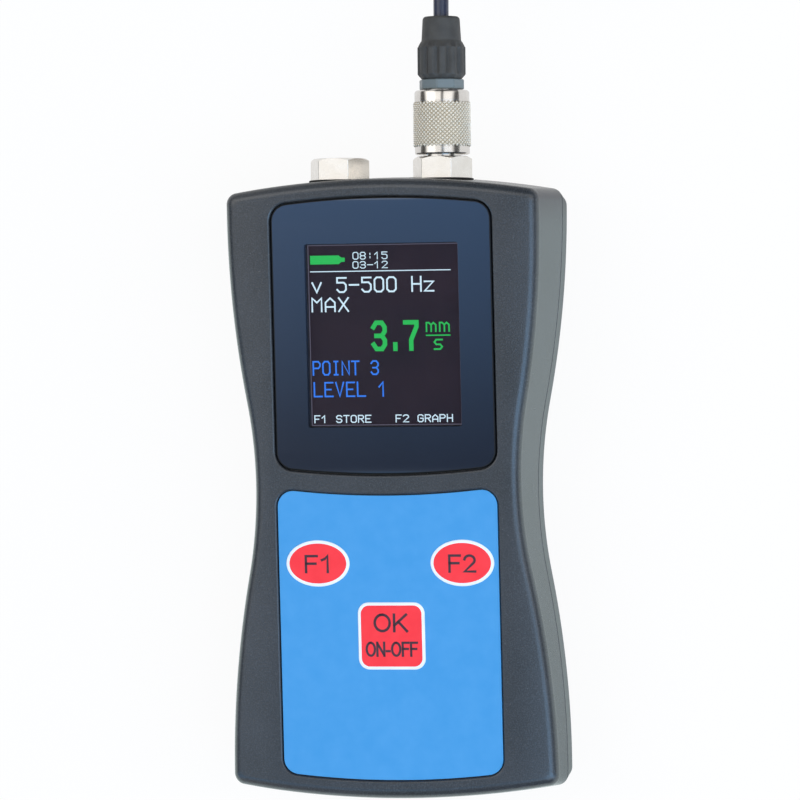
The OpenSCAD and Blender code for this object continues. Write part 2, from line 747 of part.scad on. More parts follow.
module processor_chip() {
    color("#202020") translate([3, processor_in - board_len / 2, board_top]) difference() {
        centred_box(9, 9, 0, 1);
        translate([-3.4, 3.4, 0.9]) cylinder(r = 0.4, h = 1);
    }
}

module amplifier_chips() {
    color("#202020") translate([0, board_len / 2 - amplifier_in, board_top]) {
        for (x = [-socket_x + 1, socket_x - 1]) translate([x, 0, 0]) centred_box(amplifier_w, 4, 0, 1);
        translate([0, -2 * amplifier_w + 2, 0]) centred_box(amplifier_w + 1.5, 4.4, 0, 1);
    }
}

module board_capacitors() {
    can_r = 2.2;
    can_h = 5.4;
    foot = 0.6;
    color("#8d8f94") for (x = [-16, -10, 12]) translate([x, board_len / 2 - capacitor_in, board_z - can_h]) {
        cylinder(r = can_r, h = can_h - foot / 2);
        translate([-can_r, -can_r, can_h - foot]) cube([2 * can_r, 2 * can_r, foot]);
    }
}

module board_choke() {
    color("#3a3a3a") translate([3, board_len / 2 - capacitor_in - 4, board_z - 4]) difference() {
        centred_box(7, 7, 0, 4);
        translate([0, 0, -1]) cylinder(r = 2, h = 2);
    }
}

module flex_connectors() {
    module_low = screen_v - module_len / 2;
    color("#d8d2c0") {
        translate([0, module_low - 4.4, board_top]) difference() {
            centred_box(flex_w + 3, 3, 0, 1.3);
            translate([-flex_w / 2 - 0.2, -1.2, 0.6]) cube([flex_w + 0.4, 4, 0.4]);
        }
        translate([-2.5 - tail_w / 2, pad_top - 4.2, board_top]) difference() {
            centred_box(tail_w + 3, 2, 0, 1);
            translate([-tail_w / 2 - 0.2, -0.2, 0.5]) cube([tail_w + 0.4, 0.7, 1]);
        }
    }
}

module board_screws() {
    color("#b8b8b8") at_board_screws() {
        translate([0, 0, board_z - 1]) difference() {
            cylinder(r = 1.8, h = 1);
            translate([-1.1, -0.25, -1]) cube([2.2, 0.5, 1.5]);
            translate([-0.25, -1.1, -1]) cube([0.5, 2.2, 1.5]);
        }
        translate([0, 0, board_z - 0.2]) cylinder(r = post_screw_r, h = board_t + 2.6);
    }
}

module case_screws() {
    color("#9a9a9a") at_case_screws() {
        translate([0, 0, screw_sink - head_h]) difference() {
            rotate_extrude() polygon([[0, 0], [screw_head_r * 0.7, 0], [screw_head_r, 0.5],
                                      [screw_head_r, head_h], [0, head_h]]);
            translate([-1.3, -0.35, -1]) cube([2.6, 0.7, 1.9]);
            translate([-0.35, -1.3, -1]) cube([0.7, 2.6, 1.9]);
        }
        translate([0, 0, screw_sink - 0.5]) cylinder(r = screw_r, h = screw_len + 0.5);
    }
}

// One round cell, with its button towards +Y or -Y
module cell(x, way) {
    middle = bay_y - bay_len / 2 + way * (bay_len / 2 - plate_t - 0.1 - cell_len / 2);
    translate([x, middle, cell_z]) rotate([-90 * way, 0, 0]) rotate_extrude()
        polygon([[0, -cell_len / 2], [cell_r - 0.6, -cell_len / 2], [cell_r, -cell_len / 2 + 0.6],
                 [cell_r, cell_len / 2 - button_h - 0.6], [cell_r - 0.6, cell_len / 2 - button_h],
                 [2.6, cell_len / 2 - button_h], [2.4, cell_len / 2], [0, cell_len / 2]]);
}

module battery_1() {
    color("#3c8c58") cell(-cell_pitch, 1);
}

module battery_2() {
    color("#3c8c58") cell(0, -1);
}

module battery_3() {
    color("#3c8c58") cell(cell_pitch, 1);
}

module contact_plates() {
    half = plate_w / 2;
    low = cell_z - plate_h / 2;
    color("#d0d0d0") {
        translate([-cell_pitch - half, bay_y - plate_t, low]) cube([cell_pitch + plate_w, plate_t, plate_h]);
        translate([cell_pitch - half, bay_y - plate_t, low]) cube([plate_w, plate_t, plate_h]);
        translate([-cell_pitch - half, bay_end, low]) cube([plate_w, plate_t, plate_h]);
        translate([-half, bay_end, low]) cube([cell_pitch + plate_w, plate_t, plate_h]);
    }
}

function unit(v) = v / norm(v);
function ring_at(p, t, up, r, sides) =
    let (a = unit(cross(t, up)), b = cross(a, t))
    [for (i = [0:sides - 1]) let (w = -360 * (i + 0.5) / sides) p + r * (cos(w) * a + sin(w) * b)];

// Round tube through a list of points
module tube(path, r, sides, up) {
    last = len(path) - 1;
    levels = [for (i = [0:last])
        ring_at(path[i], unit(path[min(i + 1, last)] - path[max(i - 1, 0)]), up, r, sides)];
    loft(levels);
}

// Cone-shaped spring from a plate towards its cell
module contact_spring(x, y0, way) {
    steps = 30;
    big = 3.4;
    small = 2;
    rise = bay_len - cell_len - 2 * plate_t - 0.1 - spring_wire - 0.1;
    path = [for (i = [0:steps]) let (u = i / steps, a = 360 * spring_turns * u, r = big + (small - big) * u)
        [x + r * cos(a), y0 + way * (spring_wire / 2 + 0.03 + rise * u), cell_z + r * sin(a)]];
    tube(path, spring_wire / 2, 6, [0, 1, 0]);
}

module contact_springs() {
    color("#c8c8c8") {
        contact_spring(-cell_pitch, bay_end + plate_t, 1);
        contact_spring(0, bay_y - plate_t, -1);
        contact_spring(cell_pitch, bay_end + plate_t, 1);
    }
}

module socket_body(x) {
    on_axis(x) difference() {
        union() {
            intersection() {
                translate([0, 0, hex_y]) rotate([0, 0, hex_turn])
                    cylinder(r = socket_af / 2 / cos(30), h = hex_h, $fn = 6);
                rotate_extrude() polygon([[0, hex_y - 1], [socket_turn_d / 2, hex_y - 1],
                                          [socket_turn_d / 2, hex_top - 0.5], [socket_af / 2 - 0.1, hex_top],
                                          [0, hex_top]]);
            }
            translate([0, 0, barrel_y]) cylinder(r = barrel_r, h = barrel_len + 0.5);
        }
        translate([0, 0, mouth_y]) cylinder(r = mouth_r, h = mouth_len + 1);
        translate([0, 0, barrel_y - 1]) cylinder(r = insert_r + 0.05, h = barrel_len + 3);
    }
}

module at_contacts() {
    for (a = [45:90:315]) rotate([0, 0, a]) translate([contact_circle, 0, 0]) children();
}

module insert_form(x) {
    on_axis(x) difference() {
        translate([0, 0, insert_y]) cylinder(r = insert_r, h = insert_top - insert_y);
        at_contacts() translate([0, 0, insert_y - 1]) cylinder(r = contact_r + 0.02, h = 20);
    }
}

module contacts_form(x) {
    on_axis(x) at_contacts() difference() {
        translate([0, 0, tail_y]) cylinder(r = contact_r, h = insert_top - 0.2 - tail_y);
        translate([0, 0, insert_top - 4]) cylinder(r = pin_r + 0.03, h = 8);
    }
}

module data_socket() {
    color("#dedcd6") socket_body(-socket_x);
}

module data_socket_insert() {
    color("#1c1c1e") insert_form(-socket_x);
}

module data_socket_contacts() {
    color("#c9a44a") contacts_form(-socket_x);
}

module sensor_socket() {
    color("#dedcd6") socket_body(socket_x);
}

module sensor_socket_insert() {
    color("#1c1c1e") insert_form(socket_x);
}

module sensor_socket_contacts() {
    color("#c9a44a") contacts_form(socket_x);
}

module socket_washers() {
    color("#202020") for (x = [-socket_x, socket_x]) on_axis(x)
        ring_about(washer_r, barrel_r + 0.1, spot_y, spot_y + washer_t);
}

module socket_nuts() {
    nut_y = half_len - spot_depth - wall - nut_h;
    color("#d8d6d0") for (x = [-socket_x, socket_x]) on_axis(x) difference() {
        translate([0, 0, nut_y]) rotate([0, 0, hex_turn])
            cylinder(r = nut_af / 2 / cos(30), h = nut_h, $fn = 6);
        translate([0, 0, nut_y - 1]) cylinder(r = barrel_r + 0.05, h = nut_h + 2);
    }
}

module socket_wires() {
    wire_r = 0.4;
    reach = contact_circle * cos(45);
    over = board_top + wire_r + 0.05;
    under = board_z - wire_r - 0.05;
    edge = board_len / 2;
    color("#b03030") for (x = [-socket_x, socket_x]) for (side = [-1, 1]) {
        tube([[x + side * reach, tail_y, socket_z + reach],
              [x + side * reach, tail_y - 0.6, socket_z + reach],
              [x + side * reach * 1.2, edge + 0.2, over + 0.3], [x + side * reach * 1.4, edge - 1, over],
              [x + side * reach * 1.4, edge - 2.5, over]], wire_r, 6, [1, 0, 0]);
        tube([[x + side * reach, tail_y, socket_z - reach],
              [x + side * reach, tail_y - 0.4, socket_z - reach],
              [x + side * reach * 1.2, edge + 0.7, under], [x + side * reach * 1.4, edge - 1, under],
              [x + side * reach * 1.4, edge - 2.5, under]], wire_r, 6, [1, 0, 0]);
    }
}

module plug_sleeve() {
    color("#cfcdc7") on_axis(socket_x) difference() {
        union() {
            translate([0, 0, nose_y - 0.2]) cylinder(r = sleeve_r, h = grip_top - nose_y);
            translate([0, 0, ledge_y + 0.1]) cylinder(r = shoulder_r, h = grip_top - ledge_y - 0.1);
            translate([0, 0, grip_top - 0.5]) cylinder(r = 3.2, h = 4);
        }
        translate([0, 0, nose_y - 1]) cylinder(r = sleeve_r - sleeve_t, h = 30);
    }
}

module plug_insert() {
    color("#1c1c1e") on_axis(socket_x) difference() {
        translate([0, 0, nose_y + 0.3]) cylinder(r = sleeve_r - sleeve_t - 0.05, h = 10);
        at_contacts() translate([0, 0, nose_y]) cylinder(r = pin_r + 0.02, h = 20);
    }
}

module plug_pins() {
    color("#c9a44a") on_axis(socket_x) at_contacts() translate([0, 0, insert_top - 3.2])
        cylinder(r = pin_r, h = 15);
}

module coupling_ring() {
    color("#d6d2c6") on_axis(socket_x) difference() {
        rotate_extrude() polygon([[0, nose_y], [nose_r - 0.2, nose_y], [nose_r, nose_y + 0.3],
                                  [nose_r, grip_y], [band_r - 0.3, grip_y], [band_r, grip_y + 0.3],
                                  [band_r, grip_y + band_low], [ring_r, grip_y + band_low],
                                  [ring_r, grip_top - band_high], [band_r, grip_top - band_high],
                                  [band_r, grip_top - 0.7], [band_r - 0.5, grip_top], [0, grip_top]]);
        translate([0, 0, nose_y - 1]) cylinder(r = sleeve_r + run_gap, h = 20);
        translate([0, 0, ledge_y]) cylinder(r = shoulder_r + run_gap, h = 20);
    }
}

module plug_collar() {
    color("#5c6a76") on_axis(socket_x) difference() {
        translate([0, 0, collar_y]) cylinder(r = collar_r, h = collar_len, $fn = 8);
        translate([0, 0, collar_y - 1]) cylinder(r = 3.25, h = collar_len + 2);
    }
}

module strain_relief() {
    color("#3c3c3e") on_axis(socket_x) difference() {
        rotate_extrude() polygon([[0, boot_y], [boot_r - 0.9, boot_y], [boot_r, boot_y + 1],
                                  [boot_r, neck_y - 1.3], [neck_r + 0.2, neck_y - 0.2], [neck_r, neck_y],
                                  [neck_end_r + 0.1, lead_y - 0.4], [neck_end_r - 0.3, lead_y], [0, lead_y]]);
        translate([0, 0, boot_y - 1]) cylinder(r = 3.25, h = 3.2);
        for (i = [0:flutes - 1]) rotate([0, 0, 360 * i / flutes]) translate([boot_r + 0.15, 0, boot_y + 0.6])
            cylinder(r = flute_r, h = boot_len - 1.6);
    }
}

module sensor_lead() {
    color("#26282e") {
        tube(lead_out, lead_r, 8, [1, 0, 0]);
        tube(lead_back, lead_r, 8, [0, 0, 1]);
    }
}

// Solid of the wound lead, grown by g
module coil_form(g) {
    cut = 1.2;
    translate([coil_x, coil_y, 0]) rotate_extrude($fn = 96)
        polygon([[coil_in + cut, coil_low - g], [coil_out - cut, coil_low - g],
                 [coil_out + g, coil_low + cut], [coil_out + g, coil_high - cut],
                 [coil_out - cut, coil_high + g], [coil_in + cut, coil_high + g],
                 [coil_in - g, coil_high - cut], [coil_in - g, coil_low + cut]]);
}

module lead_coil() {
    color("#26282e") coil_form(0);
}

module lead_tie() {
    color("#1c1c1e") difference() {
        translate([coil_x + coil_in - tie_t - 0.6, coil_y - tie_w / 2, coil_low - tie_t - 0.1])
            cube([coil_cols * lead_pitch + 2 * tie_t + 0.8, tie_w, coil_high - coil_low + 2 * tie_t + 0.2]);
        coil_form(0.1);
    }
}

module on_sensor() {
    translate([sensor_x, sensor_y, 0]) children();
}

// Places children on the gland's axis, with Z away from the sensor
module on_gland() {
    on_sensor() rotate([0, 0, gland_turn]) translate([0, 0, gland_z]) rotate([0, 90, 0]) children();
}

module sensor_gland() {
    color("#3c3c3e") on_gland() difference() {
        rotate_extrude() polygon([[0, sensor_r - 1], [2, sensor_r - 1], [2, sensor_r + 0.1],
                                  [gland_r, sensor_r + 0.1], [gland_r, sensor_r + 2.5],
                                  [lead_r + 0.3, gland_far], [0, gland_far]]);
        translate([0, 0, sensor_r - 2]) cylinder(r = 0.8, h = 3);
    }
}

module sensor_body() {
    color("#c9c9c6") difference() {
        on_sensor() translate([0, 0, magnet_h + 0.05]) rotate_extrude()
            polygon([[0, 0], [sensor_r - 0.6, 0], [sensor_r, 0.6], [sensor_r, sensor_h - 1.4],
                     [sensor_r - 1.4, sensor_h], [0, sensor_h]]);
        on_sensor() translate([0, 0, magnet_h - 1]) cylinder(r = stud_r + 0.05, h = stud_h + 1.4);
        on_gland() translate([0, 0, sensor_r - 1.1]) cylinder(r = 2.05, h = 5);
    }
}

module sensor_magnet() {
    color("#8c8c8c") on_sensor() rotate_extrude()
        polygon([[0, 0], [magnet_r - 0.5, 0], [magnet_r, 0.5], [magnet_r, magnet_h - 0.8],
                 [magnet_r - 0.8, magnet_h], [stud_r, magnet_h], [stud_r, magnet_h + stud_h],
                 [0, magnet_h + stud_h]]);
}

front_shell();
rear_shell();
battery_cover();
display_lens();
lens_adhesive();
display_gasket();
display_module();
display_flex();
keypad_film();
keypad_circuit();
key_domes();
main_board();
processor_chip();
amplifier_chips();
board_capacitors();
board_choke();
flex_connectors();
board_screws();
case_screws();
battery_1();
battery_2();
battery_3();
contact_plates();
contact_springs();
data_socket();
data_socket_insert();
data_socket_contacts();
sensor_socket();
sensor_socket_insert();
sensor_socket_contacts();
socket_washers();
socket_nuts();
socket_wires();
plug_sleeve();
plug_insert();
plug_pins();
coupling_ring();
plug_collar();
strain_relief();
sensor_lead();
lead_coil();
lead_tie();
sensor_gland();
sensor_body();
sensor_magnet();
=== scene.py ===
"""Looks of a handheld vibration meter with its plugged-in sensor lead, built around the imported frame.

Shapes are worked out in millimetres in the frame's own axes and turned into metres when a piece is made.
"""

from math import asin, cos, pi, radians, sin, sqrt, tan

import bmesh
import bpy
from mathutils import Matrix, Vector
from mathutils.geometry import tessellate_polygon


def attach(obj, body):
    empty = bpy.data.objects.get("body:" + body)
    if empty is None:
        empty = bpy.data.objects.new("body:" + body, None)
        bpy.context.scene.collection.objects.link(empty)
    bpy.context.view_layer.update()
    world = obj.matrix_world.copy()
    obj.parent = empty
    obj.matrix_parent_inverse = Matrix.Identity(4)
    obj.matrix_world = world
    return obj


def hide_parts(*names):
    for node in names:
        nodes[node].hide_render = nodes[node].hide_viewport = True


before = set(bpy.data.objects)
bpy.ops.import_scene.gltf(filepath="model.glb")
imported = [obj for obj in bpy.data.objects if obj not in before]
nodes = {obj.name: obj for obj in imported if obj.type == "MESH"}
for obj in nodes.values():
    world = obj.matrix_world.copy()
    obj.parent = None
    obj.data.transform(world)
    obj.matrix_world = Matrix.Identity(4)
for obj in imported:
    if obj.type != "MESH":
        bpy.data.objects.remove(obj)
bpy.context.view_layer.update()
MM = 0.001

# Housing
BODY_LEN = 118.0
BODY_W = 65.0
WAIST_W = 54.7
FLARE_Y = 53.5
WAIST_R = 86.0
END_R = 180.0
CORNER_R = 2.2
SEAM_Z = 13.0
FACE_Z = 22.5
FACE_TILT = radians(3.7)
WALL = 2.0
FACE_T = 3.2
SIDE_DRAFT = 0.2
END_DRAFT = 0.055
REAR_DRAFT = 0.11
EDGE_R = 1.8
# Beyond CROWN_X the face falls off to its long sides, further where the housing is wider
CROWN_X, CROWN_FALL, CROWN_REACH, CROWN_POWER, CROWN_END_IN = 22.25, 0.0716, 1.2, 1.7, 0.25
REAR_ROUND = 5.0
LIP_H = 1.0
LIP_T = 0.9
LIP_GAP = 0.1
SEAM_GROOVE = 0.16
HALF_SEAM = 0.05
SLOPE = tan(FACE_TILT)
HALF_LEN = BODY_LEN / 2
FLARE = (BODY_W - WAIST_W) / 2
FLARE_SUM = (FLARE_Y**2 + FLARE**2) / (2 * FLARE)
HIP_R = FLARE_SUM - WAIST_R
SIDE_JOIN = FLARE_Y * WAIST_R / FLARE_SUM

# Lens and keypad, in the plane of the front face
PANEL_W = 42.6
PANEL_BOW_R = 164.0
PANEL_GAP = 0.2
LENS_TOP, LENS_BOTTOM, LENS_CORNER = 55.0, 2.6, 3.4
LENS_T, LENS_SINK, GLUE_T = 1.2, 0.25, 0.15
PAD_TOP, PAD_BOTTOM, PAD_CORNER = -1.4, -55.4, 3.0
FILM_T, CIRCUIT_T, PAD_SINK = 0.35, 0.55, 0.3
SCREEN_V, SCREEN_W, SCREEN_LEN = 28.9, 29.2, 34.2
WINDOW_MARGIN, RECESS_RIM = 1.5, 0.35
TAIL_U, TAIL_V, TAIL_W, TAIL_LEN = -7.0, PAD_TOP - 3.7, 11.0, 1.4
LETTER_T, KEY_INK_T = 0.02, 0.015
KEY_W, KEY_LEN, KEY_RIM = 12.35, 8.85, 0.5

# Sockets, plug and lead
SOCKET_X, SOCKET_Z = 10.0, 15.8
SPOT_Y = HALF_LEN - 1.0
WASHER_T, WASHER_R = 0.5, 5.9
HEX_AF, HEX_TURN_D, HEX_H, HEX_TURN = 10.0, 11.5, 4.1, -1.0
BARREL_R, BARREL_LEN = 4.5, 7.5
MOUTH_R, MOUTH_LEN, INSERT_R = 3.9, 3.5, 3.3
CONTACT_RING_R, CONTACT_TAIL = 1.6, 3.5
THREAD_ROOT = 0.12
HEX_Y = SPOT_Y + WASHER_T
HEX_TOP = HEX_Y + HEX_H
MOUTH_Y = HEX_TOP - MOUTH_LEN
BARREL_Y = HEX_Y - BARREL_LEN
RING_R, RING_LEN, BAND_R, BAND_LOW, BAND_HIGH = 5.4, 12.1, 5.2, 1.4, 2.1
GRIP_Y = HEX_TOP + 0.4
GRIP_TOP = GRIP_Y + RING_LEN
NOSE_Y, NOSE_R = MOUTH_Y + 0.7, 3.82
LEDGE_Y = GRIP_Y + 2.6
SLEEVE_R, SHOULDER_R, RUN_GAP, PLUG_BORE = 3.38, 4.1, 0.05, 3.25
KNURL_AROUND, KNURL_ROWS, KNURL_DEPTH = 40, 21, 0.3
COLLAR_Y, COLLAR_LEN, COLLAR_R = GRIP_TOP + 0.2, 1.9, 4.35
BOOT_Y = COLLAR_Y + COLLAR_LEN
BOOT_R, BOOT_LEN, NECK_R, NECK_END_R, NECK_LEN = 4.55, 7.4, 3.75, 3.45, 4.5
FLUTES = 12
NECK_Y = BOOT_Y + BOOT_LEN
LEAD_Y = NECK_Y + NECK_LEN
LEAD_D = 2.9

# Battery bay and cover
BAY_Y, BAY_LEN, BAY_W, BAY_WALL = -6.2, 47.0, 34.4, 1.3
COVER_W, COVER_T, TONGUE_W, TONGUE_T, SLIDE_GAP = 37.0, 1.8, 1.1, 0.8, 0.15
COVER_TOP_Y = BAY_Y + BAY_WALL
CELL_D, CELL_LEN, CELL_PITCH, BUTTON_H = 10.5, 44.5, 11.0, 0.9
CELL_Z = COVER_T + SLIDE_GAP + 0.15 + CELL_D / 2
BAY_CEILING = CELL_Z + CELL_D / 2 + 0.2
PLATE_T = 0.3

# Screws, board, coil and sensor
SCREW_X, SCREW_Y, SCREW_HEAD_R, SCREW_R, SCREW_LEN, SCREW_SINK = 24.0, 49.5, 2.2, 1.1, 10.5, 5.0
SCREW_BOSS_R, POST_R, BOSS_BURY = 3.0, 2.2, 0.9
POST_X, POST_Y, POST_SCREW_R = 20.8, 41.0, 0.9
BOARD_TOP, BOARD_T, BOARD_LEN = 15.8, 1.6, BODY_LEN - 27.0
# Middles of the chips and cans, in from the board's lower end for the processor and its top end for the rest
PROCESSOR_IN, AMPLIFIERS_IN, CANS_IN = 25.5, 9.5, 27.5
LEG_W, LEG_T, LEG_H = 0.32, 0.16, 0.6
COIL_X, COIL_Y, COIL_R, COIL_PITCH, COIL_LOW = 30.4, 120.0, 17.4, 3.0, 1.0
TIE_T, TIE_W = 0.9, 8.0
SENSOR_X, SENSOR_Y, SENSOR_R, SENSOR_H = -23.0, 118.0, 8.6, 17.0
MAGNET_R, MAGNET_H = 10.0, 6.5
GLAND_TURN, GLAND_Z, GLAND_FAR, GLAND_R = -28.0, 9.2, 15.0, 2.6


# Camera

def place_camera():
    """The photograph's view: a long lens, a little to the right of straight above."""
    data = bpy.data.cameras.new("camera")
    data.sensor_width = 36
    data.lens = 247.5
    data.clip_end = 20
    camera = bpy.data.objects.new("camera", data)
    camera.location = (0.2400, 0.0135, 1.0313)
    camera.rotation_euler = (radians(0.04), radians(13.23), radians(-0.58))
    bpy.context.scene.collection.objects.link(camera)
    bpy.context.scene.camera = camera


# Node trees

class Wire:
    """One output socket, with the maths that recipes are written in."""

    def __init__(self, board, socket):
        self.board = board
        self.socket = socket

    def maths(self, operation, *others):
        return self.board.node("ShaderNodeMath", {"operation": operation}, self, *others)

    def __add__(self, other):
        return self.maths("ADD", other)

    def __radd__(self, other):
        return self.maths("ADD", other)

    def __sub__(self, other):
        return self.maths("SUBTRACT", other)

    def __rsub__(self, other):
        return self.board.node("ShaderNodeMath", {"operation": "SUBTRACT"}, other, self)

    def __mul__(self, other):
        return self.maths("MULTIPLY", other)

    def __rmul__(self, other):
        return self.maths("MULTIPLY", other)

    def __truediv__(self, other):
        return self.maths("DIVIDE", other)

    def __mod__(self, other):
        return self.maths("FLOORED_MODULO", other)


class Board:
    """Puts nodes into a tree and wires them up."""

    def __init__(self, tree):
        self.tree = tree

    def node(self, kind, settings=None, *inputs, out=0, **named):
        """Adds a node: its settings first, then its inputs in order or by name. Returns one output."""
        made = self.tree.nodes.new(kind)
        for key, value in (settings or {}).items():
            setattr(made, key, value)
        for key, value in list(enumerate(inputs)) + [(k.replace("_", " "), v) for k, v in named.items()]:
            if value is None:
                continue
            if isinstance(value, Wire):
                self.tree.links.new(value.socket, made.inputs[key])
            else:
                made.inputs[key].default_value = value
        return Wire(self, made.outputs[out]) if made.outputs else made

    def parts(self, vector):
        """The X, Y and Z of a vector as three wires."""
        first = self.node("ShaderNodeSeparateXYZ", None, vector)
        return [Wire(self, output) for output in first.socket.node.outputs]

    def join(self, x, y, z):
        return self.node("ShaderNodeCombineXYZ", None, x, y, z)


def paint(code):
    """Linear colour of a six-digit sRGB code."""
    channels = [int(code[i:i + 2], 16) / 255 for i in (0, 2, 4)]
    return tuple(c / 12.92 if c <= 0.04045 else ((c + 0.055) / 1.055) ** 2.4 for c in channels) + (1.0,)


class Finish(Board):
    """A material under construction, with its coordinates in millimetres."""

    def __init__(self, name):
        self.material = bpy.data.materials.new(name)
        self.material.use_nodes = True
        super().__init__(self.material.node_tree)
        self.tree.nodes.clear()
        place = self.node("ShaderNodeTexCoord", out="Object")
        self.place = self.node("ShaderNodeVectorMath", {"operation": "SCALE"}, place, Scale=1 / MM)

    def noise(self, size, detail=2.0, rough=0.5, stretch=None):
        """Soft noise with features of a size in millimetres, finer along an axis by its value in stretch."""
        place = self.place
        if stretch:
            place = self.node("ShaderNodeVectorMath", {"operation": "MULTIPLY"}, place, stretch)
        return self.node("ShaderNodeTexNoise", None, place, Scale=1 / size, Detail=detail, Roughness=rough)

    def ramp(self, value, low, high):
        """Value stretched so that low becomes 0 and high becomes 1."""
        return self.node("ShaderNodeMapRange", None, value, low, high, 0.0, 1.0)

    def blend(self, factor, first, second):
        """Colour between two others."""
        made = self.node("ShaderNodeMix", {"data_type": "RGBA"}, factor, out=2)
        for index, colour in ((6, first), (7, second)):
            socket = made.socket.node.inputs[index]
            if isinstance(colour, Wire):
                self.tree.links.new(colour.socket, socket)
            else:
                socket.default_value = colour
        return made

    def bump(self, height, depth, strength):
        """Normal of a surface whose height runs over depth millimetres."""
        return self.node("ShaderNodeBump", None, Strength=strength, Distance=depth * MM, Height=height)

    def surface(self, colour, roughness, normal=None, metallic=0.0, level=0.5, **plain):
        """Principled shader with values set on its own sockets."""
        return self.node("ShaderNodeBsdfPrincipled", None, Base_Color=colour, Roughness=roughness,
                         Normal=normal, Metallic=metallic, Specular_IOR_Level=level, **plain)

    def done(self, shader):
        self.node("ShaderNodeOutputMaterial", None, shader)
        return self.material


def shell_plastic(name, code, lift, rough=0.2, level=0.8):
    """Spark-eroded dark plastic with a fine grain, painted a little lighter where the grain stands up as a
    highlight.
    """
    f = Finish(name)
    grain = f.noise(0.26, 3.0, 0.62)
    cloud = f.noise(14.0, 2.0)
    base = f.blend(f.ramp(cloud, 0.3, 0.7), paint(code), paint(lift))
    # Painted highlight: the colour turns a lighter grey on the peaks of the grain
    colour = f.blend(f.ramp(grain, 0.45, 0.75) * 0.3, base, paint("5c636b"))
    rough = rough + f.noise(0.5, 2.0) * 0.1
    return f.done(f.surface(colour, rough, f.bump(grain, 0.05, 0.7), level=level))


def lens_mask():
    """Glossy plastic printed dark on its back, with a painted reflection that makes it a little lighter
    towards the sockets.
    """
    f = Finish("lens_print")
    _, y, _ = f.parts(f.place)
    # Painted reflection: the print grows lighter towards the sockets, with a soft cloud along the change
    painted_reflection = f.ramp(y + f.noise(22.0, 1.0) * 6.0, 8.0, 58.0)
    colour = f.blend(painted_reflection, paint("1f2735"), paint("36475d"))
    rough = 0.07 + f.noise(1.6, 3.0) * 0.05
    return f.done(f.surface(colour, rough, f.bump(f.noise(3.0, 1.0), 0.004, 0.4), level=0.7))


def lens_window():
    """Clear part of the lens, a little smoked, with a gloss on its outer sides alone."""
    f = Finish("lens_window")
    haze = f.noise(2.0, 3.0)
    through = f.node("ShaderNodeBsdfTransparent", None, (0.80, 0.80, 0.84, 1.0))
    gloss = f.node("ShaderNodeBsdfGlossy", None, (0.9, 0.95, 1.0, 1.0), 0.04 + haze * 0.04)
    inside = Wire(f, f.node("ShaderNodeNewGeometry").socket.node.outputs["Backfacing"])
    share = f.node("ShaderNodeFresnel", None, 1.49) * (1.0 - inside)
    return f.done(f.node("ShaderNodeMixShader", None, share, through, gloss))


def matte(name, code, lift, size, rough, depth=0.02, level=0.4):
    """Plain moulded, printed or pressed surface with a cloud of tone and a soft texture."""
    f = Finish(name)
    cloud = f.noise(size * 6, 2.0)
    fine = f.noise(size, 3.0)
    colour = f.blend(f.ramp(cloud, 0.3, 0.7), paint(code), paint(lift))
    rough = rough - 0.08 + fine * 0.16
    return f.done(f.surface(colour, rough, f.bump(fine, depth, 0.6), level=level))


def metal(name, code, lift, rough, lines=None, size=0.35, depth=0.004):
    """Plated or turned metal with faint stains, its tool lines finer along an axis by its value in lines."""
    f = Finish(name)
    stain = f.noise(3.0, 4.0)
    tooling = f.noise(size, 2.0, 0.5, lines)
    colour = f.blend(f.ramp(stain, 0.35, 0.75), paint(code), paint(lift))
    rough = rough - 0.06 + stain * 0.1 + tooling * 0.06
    return f.done(f.surface(colour, rough, f.bump(tooling, depth, 0.5), metallic=1.0))


def knurled():
    """Plated knurl: points with a painted highlight, and grooves between them with painted shade."""
    f = Finish("knurled_nickel")
    x, _, z = f.parts(f.place)
    x, z = x - SOCKET_X, z - SOCKET_Z
    reach = (x * x + z * z).maths("SQRT")
    # Painted shade and highlight: dark down in the grooves, bright out on the points
    colour = f.blend(f.ramp(reach, RING_R - 0.17, RING_R + 0.05), paint("b5a891"), paint("fdf4e6"))
    return f.done(f.surface(colour, 0.34 + f.noise(3.0, 2.0) * 0.06, metallic=0.15))


def glow(name, code, strength):
    """Lit picture elements: a fine grid of dots, brighter in the middle of each dot."""
    f = Finish(name)
    x, y, _ = f.parts(f.place)
    pitch = 0.16
    dots = (x * (2 * pi / pitch)).maths("COSINE") * (y * (2 * pi / pitch)).maths("COSINE")
    colour = f.blend(dots * 0.25 + 0.75, paint("000000"), paint(code))
    return f.done(f.surface(paint("050608"), 0.4, Emission_Color=colour, Emission_Strength=strength))


def screen_ground():
    """Unlit ground of the screen: warm black with a faint cloudy glow."""
    f = Finish("screen_ground")
    cloud = f.noise(9.0, 1.0)
    colour = f.blend(f.ramp(cloud, 0.25, 0.75), paint("241a26"), paint("33242f"))
    return f.done(f.surface(paint("060608"), 0.5, Emission_Color=colour, Emission_Strength=0.8))


def circuit_board():
    """Green solder mask over copper tracks that run across and along the board."""
    f = Finish("board_mask")
    x, y, _ = f.parts(f.place)
    turn = f.ramp(f.noise(7.0, 0.0), 0.49, 0.51)
    across = ((x / 1.27) % 1.0 - 0.5).maths("ABSOLUTE")
    along = ((y / 1.27) % 1.0 - 0.5).maths("ABSOLUTE")
    line = across * turn + along * (1 - turn)
    track = f.ramp(line, 0.17, 0.13)
    colour = f.blend(track, paint("1d5a34"), paint("2f7d48"))
    return f.done(f.surface(colour, 0.35, f.bump(track, 0.03, 0.8), level=0.5))


def cell_jacket():
    """Shrink sleeve of a cell: green, with a plain light band round the end nearer the sockets."""
    f = Finish("cell_sleeve")
    _, y, _ = f.parts(f.place)
    band = f.ramp((y + 12.0).maths("ABSOLUTE"), 9.05, 9.0)
    colour = f.blend(band, paint("2f7f4f"), paint("d8dcd6"))
    rough = 0.26 + f.noise(1.5, 3.0) * 0.1
    return f.done(f.surface(colour, rough, f.bump(f.noise(4.0, 2.0), 0.04, 0.3)))


